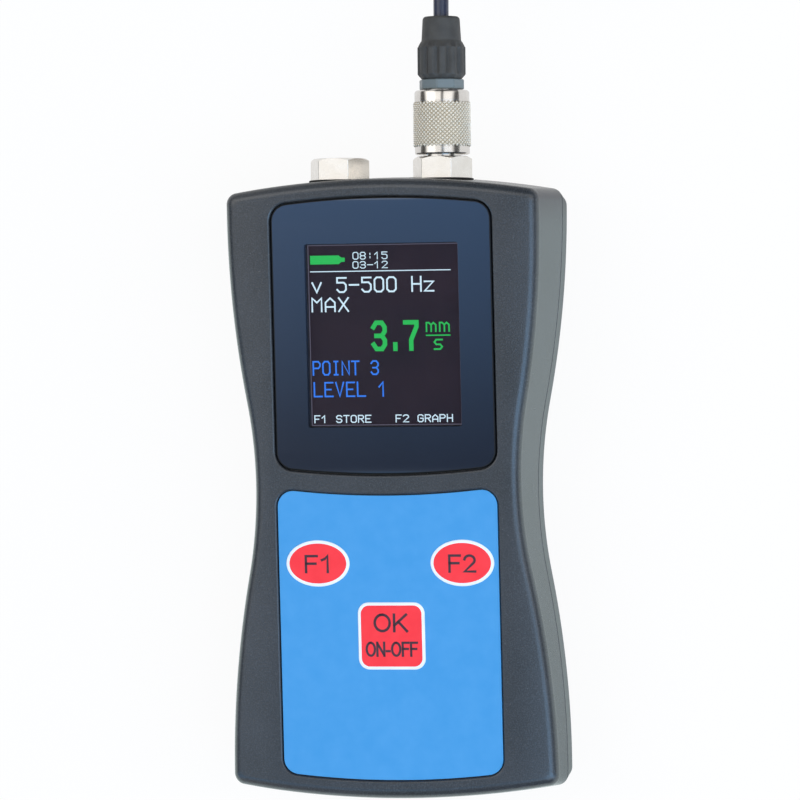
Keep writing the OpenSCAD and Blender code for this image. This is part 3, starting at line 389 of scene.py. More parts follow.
def cable_jacket():
    """Dark glossy jacket of the lead with a slight wave from its wound wires."""
    f = Finish("lead_sleeve")
    wave = f.noise(1.4, 2.0)
    colour = f.blend(f.ramp(f.noise(9.0, 2.0), 0.3, 0.7), paint("1c2234"), paint("2a3350"))
    return f.done(f.surface(colour, 0.24 + wave * 0.1, f.bump(wave, 0.03, 0.5), level=0.7))


def tie_fabric():
    """Woven hook-and-loop strap: crossed ribs half a millimetre apart."""
    f = Finish("tie_weave")
    x, y, z = f.parts(f.place)
    pitch = 0.55
    warp = ((x + z) * (2 * pi / pitch)).maths("SINE")
    weft = (y * (2 * pi / pitch)).maths("SINE")
    cloth = warp * weft
    colour = f.blend(f.ramp(cloth, -1.0, 1.0), paint("141416"), paint("2c2c30"))
    return f.done(f.surface(colour, 0.85, f.bump(cloth, 0.12, 0.8), level=0.2, Sheen_Weight=0.4,
                            Sheen_Roughness=0.5))


def make_finishes():
    """All materials, each under a short name of what it covers."""
    return {
        "front_plastic": shell_plastic("front_plastic", "292c30", "313439"),
        "rear_plastic": shell_plastic("rear_plastic", "2c2e32", "33363b", 0.4, 0.2),
        "lens_mask": lens_mask(),
        "lens_window": lens_window(),
        "black_adhesive": matte("black_adhesive", "161617", "1d1d1f", 0.8, 0.7),
        "foam": matte("foam_gasket", "26262a", "303034", 0.5, 0.9, 0.15),
        "screen_ground": screen_ground(),
        "module_frame": matte("module_frame", "3c3e44", "4a4c52", 1.0, 0.35),
        "flex_film": matte("flex_film", "a8742c", "b98436", 1.6, 0.35, 0.01),
        "film_blue": matte("film_blue", "4096d5", "489ad8", 0.5, 0.46, 0.012),
        "film_white": matte("film_white", "e9ecf4", "f2f4f8", 0.5, 0.5, 0.012),
        "film_red": matte("film_red", "fb323c", "ff3a43", 0.5, 0.48, 0.012),
        "ink": matte("key_ink", "3a2630", "44303a", 0.8, 0.55, 0.005),
        "keypad_base": matte("keypad_base", "c4bfae", "cec9b8", 0.8, 0.55),
        "dome_steel": metal("dome_steel", "c9cbcc", "d6d8d8", 0.18, (1, 8, 1)),
        "steel": metal("screw_steel", "a3a4a6", "b4b6b8", 0.3, None, 0.5, 0.01),
        "board": circuit_board(),
        "chip": matte("chip_resin", "1b1b1d", "242427", 0.25, 0.6, 0.02),
        "can": metal("can_aluminium", "b6b8bc", "c6c8cc", 0.34, (1, 1, 8)),
        "ferrite": matte("ferrite", "37373a", "424246", 0.4, 0.75, 0.03),
        "ivory": matte("ivory_part", "d4ccb6", "ddd6c2", 0.9, 0.45),
        "cell": cell_jacket(),
        "nickel": metal("nickel_plate", "dedad5", "eae7e3", 0.14, (1, 6, 1)),
        "hex_nickel": metal("turned_nickel", "f0ece6", "fbf8f4", 0.24, (1, 9, 1), 0.3, 0.004),
        "knurl_nickel": knurled(),
        "insert": matte("black_insert", "161618", "1e1e21", 0.7, 0.4),
        "gold": metal("gold_contact", "c79b3e", "d8b055", 0.22, (1, 6, 1)),
        "rubber": matte("seal_rubber", "1a1a1b", "232325", 0.6, 0.8, 0.03),
        "wire": matte("wire_jacket", "a52a26", "b8322c", 0.8, 0.4),
        "collar": matte("collar_plastic", "636d70", "6e797b", 0.9, 0.38, 0.02, 0.6),
        "boot": matte("relief_rubber", "3e3d3c", "474644", 0.35, 0.55, 0.03),
        "cable": cable_jacket(),
        "tie": tie_fabric(),
        "sensor": metal("sensor_steel", "c2c2be", "d0d0cc", 0.26, (1, 1, 9)),
        "magnet": metal("magnet_steel", "86888a", "969899", 0.34, (1, 1, 6)),
        "glow_green": glow("lit_green", "2fdc62", 1.45),
        "glow_white": glow("lit_white", "d2eef4", 2.1),
        "glow_blue": glow("lit_blue", "3484f4", 1.9),
        "glow_edge": glow("lit_edge", "8a8698", 0.8),
        # Painted shade: black on the lens's sides and eased edge, for the shadow in the gap round the lens
        "lens_edge": matte("lens_edge", "08090b", "0d0e11", 0.8, 0.55),
    }


place_camera()
finishes = make_finishes()


# Meshes

def new_object(name, mesh):
    made = bpy.data.objects.new(name, mesh)
    bpy.context.scene.collection.objects.link(made)
    return made


def plain_mesh(holder):
    """The mesh that an object's modifiers make of it, as plain data, with the object removed."""
    depsgraph = bpy.context.evaluated_depsgraph_get()
    mesh = bpy.data.meshes.new_from_object(holder.evaluated_get(depsgraph))
    bpy.data.objects.remove(holder)
    return mesh


def closed_mesh(points, faces):
    """A closed mesh with its doubles merged and its faces outwards."""
    mesh = bpy.data.meshes.new("form")
    mesh.from_pydata([tuple(p) for p in points], [], faces)
    tidy = bmesh.new()
    tidy.from_mesh(mesh)
    bmesh.ops.remove_doubles(tidy, verts=tidy.verts, dist=1e-4)
    bmesh.ops.recalc_face_normals(tidy, faces=tidy.faces)
    tidy.to_mesh(mesh)
    tidy.free()
    return mesh


def loft(rings, closed=False):
    """A closed body through rings of equally many points, capped at both ends or joined into a loop."""
    n = len(rings[0])
    points = [p for ring in rings for p in ring]
    pairs = [(k, k + 1) for k in range(len(rings) - 1)] + ([(len(rings) - 1, 0)] if closed else [])
    faces = [(a * n + i, a * n + (i + 1) % n, b * n + (i + 1) % n, b * n + i)
             for a, b in pairs for i in range(n)]
    if not closed:
        faces += [tuple(reversed(range(n))), tuple((len(rings) - 1) * n + i for i in range(n))]
    return closed_mesh(points, faces)


def rounded(points, radius, steps=3, ends=False):
    """A profile with its corners rounded, as far as the neighbouring points leave room.

    Its two ends stay as they are, unless ends says that they are corners too.
    """
    made = []
    last = len(points) - 1
    for k, point in enumerate(points):
        if not ends and k in (0, last):
            made.append(tuple(point))
            continue
        here, back, on = Vector(point), Vector(points[k - 1]), Vector(points[(k + 1) % len(points)])
        reach = min(radius, (back - here).length * 0.45, (on - here).length * 0.45)
        start = here + (back - here).normalized() * reach
        end = here + (on - here).normalized() * reach
        for i in range(steps + 1):
            t = i / steps
            made.append(tuple(start * (1 - t) ** 2 + here * 2 * t * (1 - t) + end * t**2))
    return made


def turned(profile, steps=72, closed=False, shape=None):
    """A body turned about Z from (radius, height) points.

    A radius may be changed by shape(radius, height, angle).
    """
    rings = []
    for r, h in profile:
        ring = []
        for i in range(steps):
            a = 2 * pi * i / steps
            q = shape(r, h, a) if shape and r > 0 else r
            ring.append((q * cos(a), q * sin(a), h))
        rings.append(ring)
    return loft(rings, closed)


def on_axis(x):
    """Frame of a socket's axis: Z of the form runs along +Y."""
    return Matrix.Translation((x, 0, SOCKET_Z)) @ Matrix.Rotation(radians(-90), 4, "X")


def on_face():
    """Frame of the front face: Z of the form stands out of the face."""
    return Matrix.Translation((0, 0, FACE_Z)) @ Matrix.Rotation(FACE_TILT, 4, "X")


def placed(mesh, matrix):
    mesh.transform(matrix)
    return mesh


def block(x0, x1, y0, y1, z0, z1):
    """Box between two corners."""
    return loft([[(x0, y0, z), (x1, y0, z), (x1, y1, z), (x0, y1, z)] for z in (z0, z1)])


def carve(mesh, *tools, operation="DIFFERENCE"):
    """Cuts closed tools out of a closed mesh, or adds them to it, one after another."""
    holder = new_object("work", mesh)
    helpers = []
    for tool in tools:
        helper = new_object("tool", tool)
        helpers.append(helper)
        modifier = holder.modifiers.new("carve", "BOOLEAN")
        modifier.operation = operation
        modifier.solver = "EXACT"
        modifier.object = helper
    made = plain_mesh(holder)
    for helper in helpers:
        bpy.data.objects.remove(helper)
    return made


def joined(meshes):
    """Several meshes as one, with each mesh's material slots kept."""
    whole = bmesh.new()
    materials = []
    for mesh in meshes:
        start = len(whole.faces)
        whole.from_mesh(mesh)
        whole.faces.ensure_lookup_table()
        slots = list(mesh.materials) or [None]
        for face in whole.faces[start:]:
            face.material_index += len(materials)
        materials += slots
    made = bpy.data.meshes.new("joined")
    whole.to_mesh(made)
    whole.free()
    for material in materials:
        made.materials.append(material)
    return made


def finish_piece(name, mesh, finish, body="meter", stands_for=(), crease=32.0, bevel=0.0):
    """Turns a form in millimetres into a piece of the object that rides on its body.

    An edge that turns by more than crease degrees stays sharp, or is bevelled where a bevel is given.
    """
    mesh.transform(Matrix.Scale(MM, 4))
    mesh.name = name
    if finish:
        mesh.materials.clear()
        mesh.materials.append(finishes[finish])
    piece = new_object(name, mesh)
    mesh.shade_smooth()
    if bevel:
        edge = piece.modifiers.new("edge", "BEVEL")
        edge.width = bevel * MM
        edge.segments = 2
        edge.limit_method = "ANGLE"
        edge.angle_limit = radians(crease)
        edge.harden_normals = False
        bevelled = plain_mesh(piece)
        piece = new_object(name, bevelled)
        bevelled.name = name
        bevelled.shade_smooth()
    piece.data.set_sharp_from_angle(angle=radians(crease))
    normals = piece.modifiers.new("normals", "WEIGHTED_NORMAL")
    normals.keep_sharp = True
    normals.weight = 80
    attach(piece, body)
    if stands_for:
        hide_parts(*stands_for)
    return piece


def copy_of(node):
    """A CAD node's mesh, merged and with its flat faces whole again, in millimetres."""
    mesh = nodes[node].data.copy()
    mesh.materials.clear()
    mesh.transform(Matrix.Scale(1 / MM, 4))
    tidy = bmesh.new()
    tidy.from_mesh(mesh)
    bmesh.ops.remove_doubles(tidy, verts=tidy.verts, dist=1e-3)
    bmesh.ops.dissolve_limit(tidy, angle_limit=radians(0.6), verts=tidy.verts, edges=tidy.edges)
    tidy.to_mesh(mesh)
    tidy.free()
    return mesh


# Outline of the housing

def side_x(y):
    """Half width of the housing at the parting line."""
    if abs(y) < SIDE_JOIN:
        return WAIST_W / 2 + WAIST_R - sqrt(WAIST_R**2 - y * y)
    return BODY_W / 2 - HIP_R + sqrt(HIP_R**2 - (abs(y) - FLARE_Y) ** 2)


def bow(x, radius):
    """Fall of a bowed edge at distance x from its middle."""
    return radius - sqrt(radius * radius - x * x)


def level(z, inset, corner, foot=SEAM_Z, rise=0.0, sides=0.0, ends=0.0, inner=0.0):
    """One level of the housing, anticlockwise from above, on the plane z + rise * y.

    A share of inner above 0 brings the long sides in towards the straight edges beside the panels, and
    the ends in a little.
    """
    corner_steps, side_steps, end_steps = 12, 64, 24
    end_in = inset + inner * CROWN_END_IN

    def draft(y, share):
        return share * abs(foot + rise * y - SEAM_Z)

    def inward(x):
        return x * (1 - inner) + CROWN_X * inner

    def quarter(sx, sy):
        x_c = inward(BODY_W / 2 - draft(sy * FLARE_Y, sides) - inset) - corner
        last = radians(90) - asin(x_c / END_R)
        y_end = HALF_LEN - draft(sy * HALF_LEN, ends) - end_in
        y_c = y_end - bow(x_c + corner * cos(last), END_R) - corner * sin(last)
        turns = [last * i / corner_steps for i in range(corner_steps + 1)]
        return [(sx * (x_c + corner * cos(a)), sy * (y_c + corner * sin(a))) for a in turns]

    def end_run(c, sx, sy):
        y_end = HALF_LEN - draft(sy * HALF_LEN, ends) - end_in
        xs = [sx * c * (1 - 2 * i / end_steps) for i in range(1, end_steps)]
        return [(x, sy * (y_end - bow(x, END_R))) for x in xs]

    def side_run(y0, y1, sx):
        ys = [y0 + (y1 - y0) * i / side_steps for i in range(1, side_steps)]
        return [(sx * inward(side_x(y) - draft(y, sides) - inset), y) for y in ys]

    tr, tl = quarter(1, 1), quarter(-1, 1)[::-1]
    bl, br = quarter(-1, -1), quarter(1, -1)[::-1]
    flat = tr + end_run(tr[-1][0], 1, 1) + tl + side_run(tl[-1][1], bl[0][1], -1)
    flat += bl + end_run(br[0][0], -1, -1) + br + side_run(br[-1][1], tr[0][1], 1)
    return [(x, y, z + rise * y) for x, y in flat]


def crowned(ring):
    """A ring of the face, let down so that the face falls off from the panels to its long sides."""
    made = []
    for x, y, z in ring:
        room = side_x(min(max(y, -FLARE_Y), FLARE_Y)) - CROWN_X
        share = max(0.0, (abs(x) - CROWN_X) / room)
        made.append((x, y, z - CROWN_FALL * room**CROWN_REACH * share**CROWN_POWER))
    return made


def front_levels():
    """Levels of the front edge: its round up from the wall, then the crown in to the flat middle."""
    low = FACE_Z - EDGE_R
    round_steps, crown_steps = 10, 8
    made = []
    for i in range(round_steps + 1):
        turn = radians(90 / round_steps * i)
        inset = EDGE_R * (1 - cos(turn))
        z = low + EDGE_R * sin(turn)
        made.append(crowned(level(z, inset, CORNER_R - inset / 2, low, SLOPE, SIDE_DRAFT, END_DRAFT)))
    for i in range(1, crown_steps + 1):
        corner = (CORNER_R - EDGE_R / 2) * (1 - 0.07 * i)
        share = i / crown_steps
        made.append(crowned(level(FACE_Z, EDGE_R, corner, low, SLOPE, SIDE_DRAFT, END_DRAFT, share)))
    return made


def rear_level(turn):
    """Level of the round rear edge: its top, on the wall, at a turn of 0 and its foot at a right angle."""
    return level(REAR_ROUND * (1 - sin(turn)), REAR_ROUND * (1 - cos(turn)),
                 CORNER_R + (1 - cos(turn)) * REAR_ROUND / 3, REAR_ROUND, 0.0, REAR_DRAFT, REAR_DRAFT)


def rear_edge():
    """Levels of the round rear edge, from its foot up to the wall."""
    steps = 10
    return [rear_level(radians(90 - 90 * i / steps)) for i in range(steps + 1)]


def panel(grow, z, top, s_top, bottom, s_bottom, corner):
    """Outline of the lens or the keypad: straight sides and bowed ends.

    s_top and s_bottom are 1 for an end that rises towards its corners and -1 for one that falls.
    """
    corner_steps, end_steps = 10, 32
    w, r = PANEL_W / 2 + grow, corner + grow

    def edge(x, y0, s):
        return y0 + s * bow(x, PANEL_BOW_R)

    def quarter(y0, s, up):
        x_c = w - r
        last = radians(90) + up * s * asin(x_c / PANEL_BOW_R)
        y_c = edge(x_c + r * cos(last), y0, s) - up * r * sin(last)
        turns = [last * i / corner_steps for i in range(corner_steps + 1)]
        return [(x_c + r * cos(a), y_c + up * r * sin(a)) for a in turns]

    def run(x0, y0, s):
        return [(x, edge(x, y0, s)) for x in [x0 * (1 - 2 * i / end_steps) for i in range(1, end_steps)]]

    tr, br = quarter(top + grow, s_top, 1), quarter(bottom - grow, s_bottom, -1)
    flat = tr + run(tr[-1][0], top + grow, s_top) + [(-x, y) for x, y in tr[::-1]]
    flat += [(-x, y) for x, y in br] + run(-br[-1][0], bottom - grow, s_bottom) + br[::-1]
    return [(x, y, z) for x, y in flat]


def lens_ring(grow, z):
    return panel(grow, z, LENS_TOP, -1, LENS_BOTTOM, 1, LENS_CORNER)


def pad_ring(grow, z):
    return panel(grow, z, PAD_TOP, 1, PAD_BOTTOM, 1, PAD_CORNER)


def recess_tool(ring, depth):
    """Cutter for a panel's recess, flared at the face so that the rim comes out rounded."""
    turns = [radians(a) for a in (0, 22.5, 45, 67.5, 90)]
    flare = [(RECESS_RIM * (1 - cos(t)), -RECESS_RIM * (1 - sin(t))) for t in turns]
    rings = [ring(PANEL_GAP, -depth)] + [ring(PANEL_GAP + g, z) for g, z in flare]
    return placed(loft(rings + [ring(PANEL_GAP + RECESS_RIM, 5.0)]), on_face())


def soft_box(cx, cy, w, h, r, turns):
    """Outline of a box with rounded corners, each with a point at every one of its turns."""
    corners = [(1, 1, 0), (-1, 1, 90), (-1, -1, 180), (1, -1, 270)]
    return [(cx + sx * (w / 2 - r) + r * cos(radians(a + t)), cy + sy * (h / 2 - r) + r * sin(radians(a + t)))
            for sx, sy, a in corners for t in turns]


def slot_box(cx, cy, w, h, z0, z1, r=0.6):
    """Upright box with rounded corners."""
    flat = soft_box(cx, cy, w, h, r, (0, 22.5, 45, 67.5, 90))
    return loft([[(x, y, z) for x, y in flat] for z in (z0, z1)])


def socket_tool(x):
    """Cutter for a socket's bore and the flat that it sits on."""
    far = HALF_LEN + 4
    bore = BARREL_R + LIP_GAP
    spot = WASHER_R + 0.5
    walls = [(0, BARREL_Y), (bore, BARREL_Y), (bore, SPOT_Y), (spot, SPOT_Y), (spot, far), (0, far)]
    return placed(turned(walls, 64), on_axis(x))


def corners_of(x, y):
    return [(sx * x, sy * y) for sx in (-1, 1) for sy in (-1, 1)]


def ceiling(y):
    """Height of the front shell's ceiling at a distance along the housing."""
    return FACE_Z + SLOPE * y - FACE_T


def pillar(place, r, z0, z1, steps=32):
    """Upright round body at a place."""
    return placed(turned([(0, z0), (r, z0), (r, z1), (0, z1)], steps), Matrix.Translation((*place, 0)))


def at_screws(profile):
    """One body turned from a profile for each of the four case screws."""
    places = corners_of(SCREW_X, SCREW_Y)
    return joined([placed(turned(profile, 40), Matrix.Translation((x, y, 0))) for x, y in places])


def make_front_housing():
    """Front shell: cavity, lip, grooved parting edge, drafted side, rounded edge, recesses and bosses."""
    roof = FACE_Z - FACE_T
    inner = CORNER_R - WALL + 0.6
    lip_corner = CORNER_R - WALL + LIP_T + 0.3
    g = SEAM_GROOVE
    rings = [level(roof, WALL, inner, roof, SLOPE, SIDE_DRAFT, END_DRAFT), level(SEAM_Z, WALL, inner),
             level(SEAM_Z - LIP_H, WALL, inner), level(SEAM_Z - LIP_H, WALL - LIP_T, lip_corner),
             level(SEAM_Z, WALL - LIP_T, lip_corner), level(SEAM_Z + HALF_SEAM, g, CORNER_R - g),
             level(SEAM_Z + HALF_SEAM + g, 0, CORNER_R)]
    rings += front_levels()
    screws, posts = corners_of(SCREW_X, SCREW_Y), corners_of(POST_X, POST_Y)
    bosses = [pillar(at, SCREW_BOSS_R, SEAM_Z, ceiling(at[1]) + BOSS_BURY, 40) for at in screws]
    bosses += [pillar(at, POST_R, BOARD_TOP, ceiling(at[1]) + BOSS_BURY, 40) for at in posts]
    mesh = carve(loft(rings), joined(bosses), operation="UNION")
    below, margin = -FACE_T - 2, 2 * WINDOW_MARGIN
    window = slot_box(0, SCREEN_V, SCREEN_W + margin, SCREEN_LEN + margin, below, 0.5)
    tail = slot_box(TAIL_U, TAIL_V, TAIL_W, TAIL_LEN, below, -0.6, 0.3)
    drills = [pillar(at, SCREW_R + 0.05, SEAM_Z - 5, SCREW_SINK + SCREW_LEN + 0.3) for at in screws]
    drills += [pillar(at, POST_SCREW_R + 0.05, BOARD_TOP - 1, BOARD_TOP + 2.6) for at in posts]
    mesh = carve(mesh, recess_tool(lens_ring, LENS_SINK + LENS_T + GLUE_T),
                 recess_tool(pad_ring, PAD_SINK + FILM_T + CIRCUIT_T), placed(window, on_face()),
                 placed(tail, on_face()), joined(drills), socket_tool(SOCKET_X), socket_tool(-SOCKET_X))
    finish_piece("front_housing", mesh, "front_plastic", stands_for=["front_shell"],
                 crease=28)


def cover_form(g, low):
    """Form of the sliding cover with its two tongues, grown by g."""
    half = COVER_W / 2 + g
    wide = half + TONGUE_W
    z_t = COVER_T - TONGUE_T
    shape = [(-half, low), (half, low), (half, z_t - g), (wide, z_t - g), (wide, COVER_T + g),
             (-wide, COVER_T + g), (-wide, z_t - g), (-half, z_t - g)]
    y1 = COVER_TOP_Y + (SLIDE_GAP if g else 0)
    return loft([[(x, y, z) for x, z in shape] for y in (-BODY_LEN, y1)])


def make_rear_housing():
    """Rear shell with its step for the lip, battery bay, cover rails and screw towers."""
    inner = CORNER_R - WALL + 0.6
    step_corner = CORNER_R - WALL + LIP_T + 0.4
    step = WALL - LIP_T - LIP_GAP
    step_z = SEAM_Z - LIP_H - LIP_GAP
    edge = SEAM_Z - HALF_SEAM
    g = SEAM_GROOVE
    rings = rear_edge()
    rings += [level(edge - g, 0, CORNER_R), level(edge, g, CORNER_R - g), level(edge, step, step_corner),
              level(step_z, step, step_corner), level(step_z, WALL, inner),
              level(REAR_ROUND, WALL, inner, REAR_ROUND, 0.0, REAR_DRAFT, REAR_DRAFT),
              level(WALL, WALL + 1.6, inner, REAR_ROUND, 0.0, REAR_DRAFT, REAR_DRAFT)]
    rail_w = COVER_W / 2 + TONGUE_W + 2
    rail_z = COVER_T + SLIDE_GAP + 1.4
    bury = WALL / 2
    end_y = HALF_LEN - WALL - REAR_ROUND / 2
    slab = block(-rail_w, rail_w, -end_y, COVER_TOP_Y + 1.5, bury, rail_z)
    bay_end, bay_w = BAY_Y - BAY_LEN, BAY_W / 2 + BAY_WALL
    bay = block(-bay_w, bay_w, bay_end - BAY_WALL, BAY_Y + BAY_WALL, bury, BAY_CEILING + 1)
    wide, slim = SCREW_HEAD_R + 1.7, SCREW_HEAD_R + 0.7
    neck_z = SEAM_Z - LIP_H - 1.5
    tower = [(0, bury + 0.5), (wide, bury + 0.5), (wide, neck_z), (slim, neck_z), (slim, edge), (0, edge)]
    mesh = carve(loft(rings), slab, bay, at_screws(tower), operation="UNION")
    head, shank = SCREW_HEAD_R + 0.3, SCREW_R + 0.15
    sink = [(0, -1), (head + 0.35, -1), (head + 0.35, 0), (head + 0.1, 0.1), (head, 0.35), (head, SCREW_SINK),
            (shank, SCREW_SINK), (shank, SEAM_Z + 1), (0, SEAM_Z + 1)]
    cells = block(-BAY_W / 2, BAY_W / 2, bay_end, BAY_Y, -1, BAY_CEILING)
    mesh = carve(mesh, cells, cover_form(SLIDE_GAP, -1), at_screws(sink), socket_tool(SOCKET_X),
                 socket_tool(-SOCKET_X))
    finish_piece("rear_housing", mesh, "rear_plastic", stands_for=["rear_shell"],
                 crease=28)


make_front_housing()
make_rear_housing()


# Geometry node forms

class Growth(Board):
    """A geometry node tree with named inputs, made into a plain mesh in one material."""

    def __init__(self, name, **given):
        super().__init__(bpy.data.node_groups.new(name, "GeometryNodeTree"))
        self.values = {}
        for key, value in given.items():
            kind = "NodeSocketInt" if isinstance(value, int) else "NodeSocketFloat"
            socket = self.tree.interface.new_socket(key, in_out="INPUT", socket_type=kind)
            self.values[socket.identifier] = value
        self.tree.interface.new_socket("Geometry", in_out="OUTPUT", socket_type="NodeSocketGeometry")
        entry = self.tree.nodes.new("NodeGroupInput")
        self.given = {key: Wire(self, entry.outputs[key]) for key in given}

    def mesh(self, geometry, finish):
        """The grown mesh with its instances made real."""
        whole = self.node("GeometryNodeRealizeInstances", None, geometry)
        painted = self.node("GeometryNodeSetMaterial", None, whole, Material=finishes[finish])
        leave = self.tree.nodes.new("NodeGroupOutput")
        self.tree.links.new(painted.socket, leave.inputs[0])
        holder = new_object("grown", bpy.data.meshes.new("grown"))
        modifier = holder.modifiers.new("grown", "NODES")
        modifier.node_group = self.tree
        for identifier, value in self.values.items():
            modifier[identifier] = value
        return plain_mesh(holder)


def spiral_wire(finish, turns, r0, r1, height, wire, sides=8, per_turn=36):
    """Wire wound about Z from radius r0 at the foot to r1 at the top: a spring, or the crest of a thread."""
    g = Growth("spiral_wire", Turns=float(turns), Foot=float(r0), Top=float(r1), Height=float(height),
               Wire=float(wire))
    path = g.node("GeometryNodeCurveSpiral", None, per_turn, g.given["Turns"], g.given["Foot"],
                  g.given["Top"], g.given["Height"])
    ring = g.node("GeometryNodeCurvePrimitiveCircle", {"mode": "RADIUS"}, Resolution=sides,
                  Radius=g.given["Wire"])
    return g.mesh(g.node("GeometryNodeCurveToMesh", None, path, ring, Fill_Caps=True), finish)


def knurl(finish, radius, foot, length, around, rows, depth):
    """Diamond knurl about Z: staggered rows of four-sided points, their bases sunk under the radius."""
    g = Growth("knurl", Radius=float(radius), Foot=float(foot), Length=float(length), Around=around,
               Rows=rows, Depth=float(depth))
    count = g.given["Around"] * g.given["Rows"]
    index = g.node("GeometryNodeInputIndex")
    row = (index / g.given["Around"]).maths("FLOOR")
    step = g.given["Length"] / (g.given["Rows"] + 1)
    angle = (index + (row % 2.0) * 0.5) / g.given["Around"] * (2 * pi)
    low = g.given["Radius"] - g.given["Depth"]
    height = g.given["Foot"] + (row + 1.0) * step
    place = g.join(low * angle.maths("COSINE"), low * angle.maths("SINE"), height)
    points = g.node("GeometryNodePoints", None, count, place)
    cone = g.node("GeometryNodeMeshCone", {"fill_type": "NGON"}, Vertices=4, Radius_Top=0.08,
                  Radius_Bottom=1.0, Depth=1.0)
    overlap = 1.02
    size = g.join(step * overlap, low * (2 * pi) / g.given["Around"] / 2 * overlap, g.given["Depth"])
    turn = g.join(0.0, pi / 2, angle)
    teeth = g.node("GeometryNodeInstanceOnPoints", None, points, Instance=cone, Rotation=turn, Scale=size)
    return g.mesh(teeth, finish)


def row_of_legs(finish, count, pitch, reach):
    """Gull-wing legs along X from the middle outwards along +Y, standing on z = 0."""
    g = Growth("legs", Count=count, Pitch=float(pitch), Reach=float(reach), Height=LEG_H, Width=LEG_W,
               Thick=LEG_T)
    out, thick, width, height = g.given["Reach"], g.given["Thick"], g.given["Width"], g.given["Height"]
    leg = g.node("GeometryNodeJoinGeometry")
    for size, middle in (
            (g.join(width, out * 0.5, thick), g.join(0.0, out * 0.75, thick * 0.5)),
            (g.join(width, thick, height), g.join(0.0, out * 0.5, height * 0.5)),
            (g.join(width, out * 0.5, thick), g.join(0.0, out * 0.25, height - thick * 0.5))):
        cube = g.node("GeometryNodeMeshCube", None, size)
        part = g.node("GeometryNodeTransform", None, cube, Translation=middle)
        g.tree.links.new(part.socket, leg.socket.node.inputs[0])
    index = g.node("GeometryNodeInputIndex")
    x = (index - (g.given["Count"] - 1.0) * 0.5) * g.given["Pitch"]
    points = g.node("GeometryNodePoints", None, g.given["Count"], g.join(x, 0.0, 0.0))
    return g.mesh(g.node("GeometryNodeInstanceOnPoints", None, points, Instance=leg), finish)


# Paths and tubes

def smooth_path(points, steps):
    """Catmull-Rom run through points."""
    pts = [Vector(p) for p in points]
    pts = [pts[0] * 2 - pts[1]] + pts + [pts[-1] * 2 - pts[-2]]
    made = []
    for k in range(1, len(pts) - 2):
        a, b, c, d = pts[k - 1:k + 3]
        for i in range(steps):
            t = i / steps
            point = b * 2 + (c - a) * t + (a * 2 - b * 5 + c * 4 - d) * t**2
            made.append((point + (b * 3 - a - c * 3 + d) * t**3) * 0.5)
    return made + [pts[-2]]


def tube(path, radius, sides=12):
    """Round tube along a path, without twist."""
    heads = [(path[min(k + 1, len(path) - 1)] - path[max(k - 1, 0)]).normalized() for k in range(len(path))]
    side = heads[0].orthogonal().normalized()
    rings = []
    for k, (point, head) in enumerate(zip(path, heads)):
        if k:
            side = (heads[k - 1].rotation_difference(head) @ side).normalized()
        side = (side - head * side.dot(head)).normalized()
        up = head.cross(side)
        rings.append([point + (side * cos(2 * pi * i / sides) + up * sin(2 * pi * i / sides)) * radius
                      for i in range(sides)])
    return loft(rings)


def ease(t):
    """Soft rise from 0 to 1."""
    t = min(max(t, 0.0), 1.0)
    return t * t * (3 - 2 * t)


# Points of the lead out to its coil and back to the sensor, with y counted from the end of the plug
LEAD_OUT = [(SOCKET_X, -1.0, SOCKET_Z), (10, 2.9, 15.8), (10, 5.9, 15.7), (10, 8.9, 15.4), (10, 11.9, 14.9),
            (10, 14.9, 14.2), (10, 17.9, 13.3), (10, 20.9, 12.4), (10.1, 23.9, 11.8), (10.2, 25.9, 11.5)]
LEAD_BACK = [(28, 10.6, 2.6), (24, 10.8, 2.5), (20, 11.2, 2.4), (16, 11.9, 2.4), (12, 12.9, 2.7),
             (8, 14.1, 3.4), (4, 15.4, 4.6), (0, 16.9, 6.2), (-3, 18.3, 7.6), (-5.4, 19.5, 8.6),
             (-7.6, 20.7, 9.1)]
GLAND_WAY = Vector((cos(radians(GLAND_TURN)), sin(radians(GLAND_TURN)), 0))


def lead_path():
    """The lead's middle line: plug, coil from the top layer down, and on to the sensor's gland."""
    radii = [COIL_R + COIL_PITCH, COIL_R, COIL_R - COIL_PITCH]
    slots = []
    for layer in range(4):
        z = COIL_LOW + COIL_PITCH * (3.5 - layer)
        slots += [(r, z) for r in (radii if layer % 2 == 0 else radii[::-1])]
    # A change of slot ends before its turn does, by a share of the turn that grows down the coil
    early = (0.06, 0.06, 0.20, 0.34, 0.34, 0.48, 0.62, 0.62, 0.76, 0.90, 0.90)
    ends = [k + 1 - share for k, share in enumerate(early)]
    coil = []
    per_turn, turns, change = 30, 11.75, 0.14
    for i in range(1, int(per_turn * turns) + 1):
        p = i / per_turn
        r, z = slots[0]
        for k, end in enumerate(ends):
            share = ease((p - end + change) / change)
            r += (slots[k + 1][0] - slots[k][0]) * share
            z += (slots[k + 1][1] - slots[k][1]) * share
        a = radians(180 - 360 * p)
        wave = 0.10 * sin(5.3 * p + r) + 0.05 * sin(17.0 * p)
        coil.append(Vector((COIL_X + (r + wave * 0.4) * cos(a), COIL_Y + (r + wave * 0.4) * sin(a), z)))
    out = [(x, y + LEAD_Y, z) for x, y, z in LEAD_OUT]
    back = [(x, y + LEAD_Y, z) for x, y, z in LEAD_BACK]
    far = Vector((SENSOR_X, SENSOR_Y, GLAND_Z))
    back += [tuple(far + GLAND_WAY * reach) for reach in (GLAND_FAR + 0.2, GLAND_FAR - 1.2)]
    first = smooth_path(out + [tuple(coil[2]), tuple(coil[5])], 4)
    last = smooth_path([tuple(coil[-4]), tuple(coil[-1])] + back, 4)
    return first[:-1] + coil[5:-4] + last


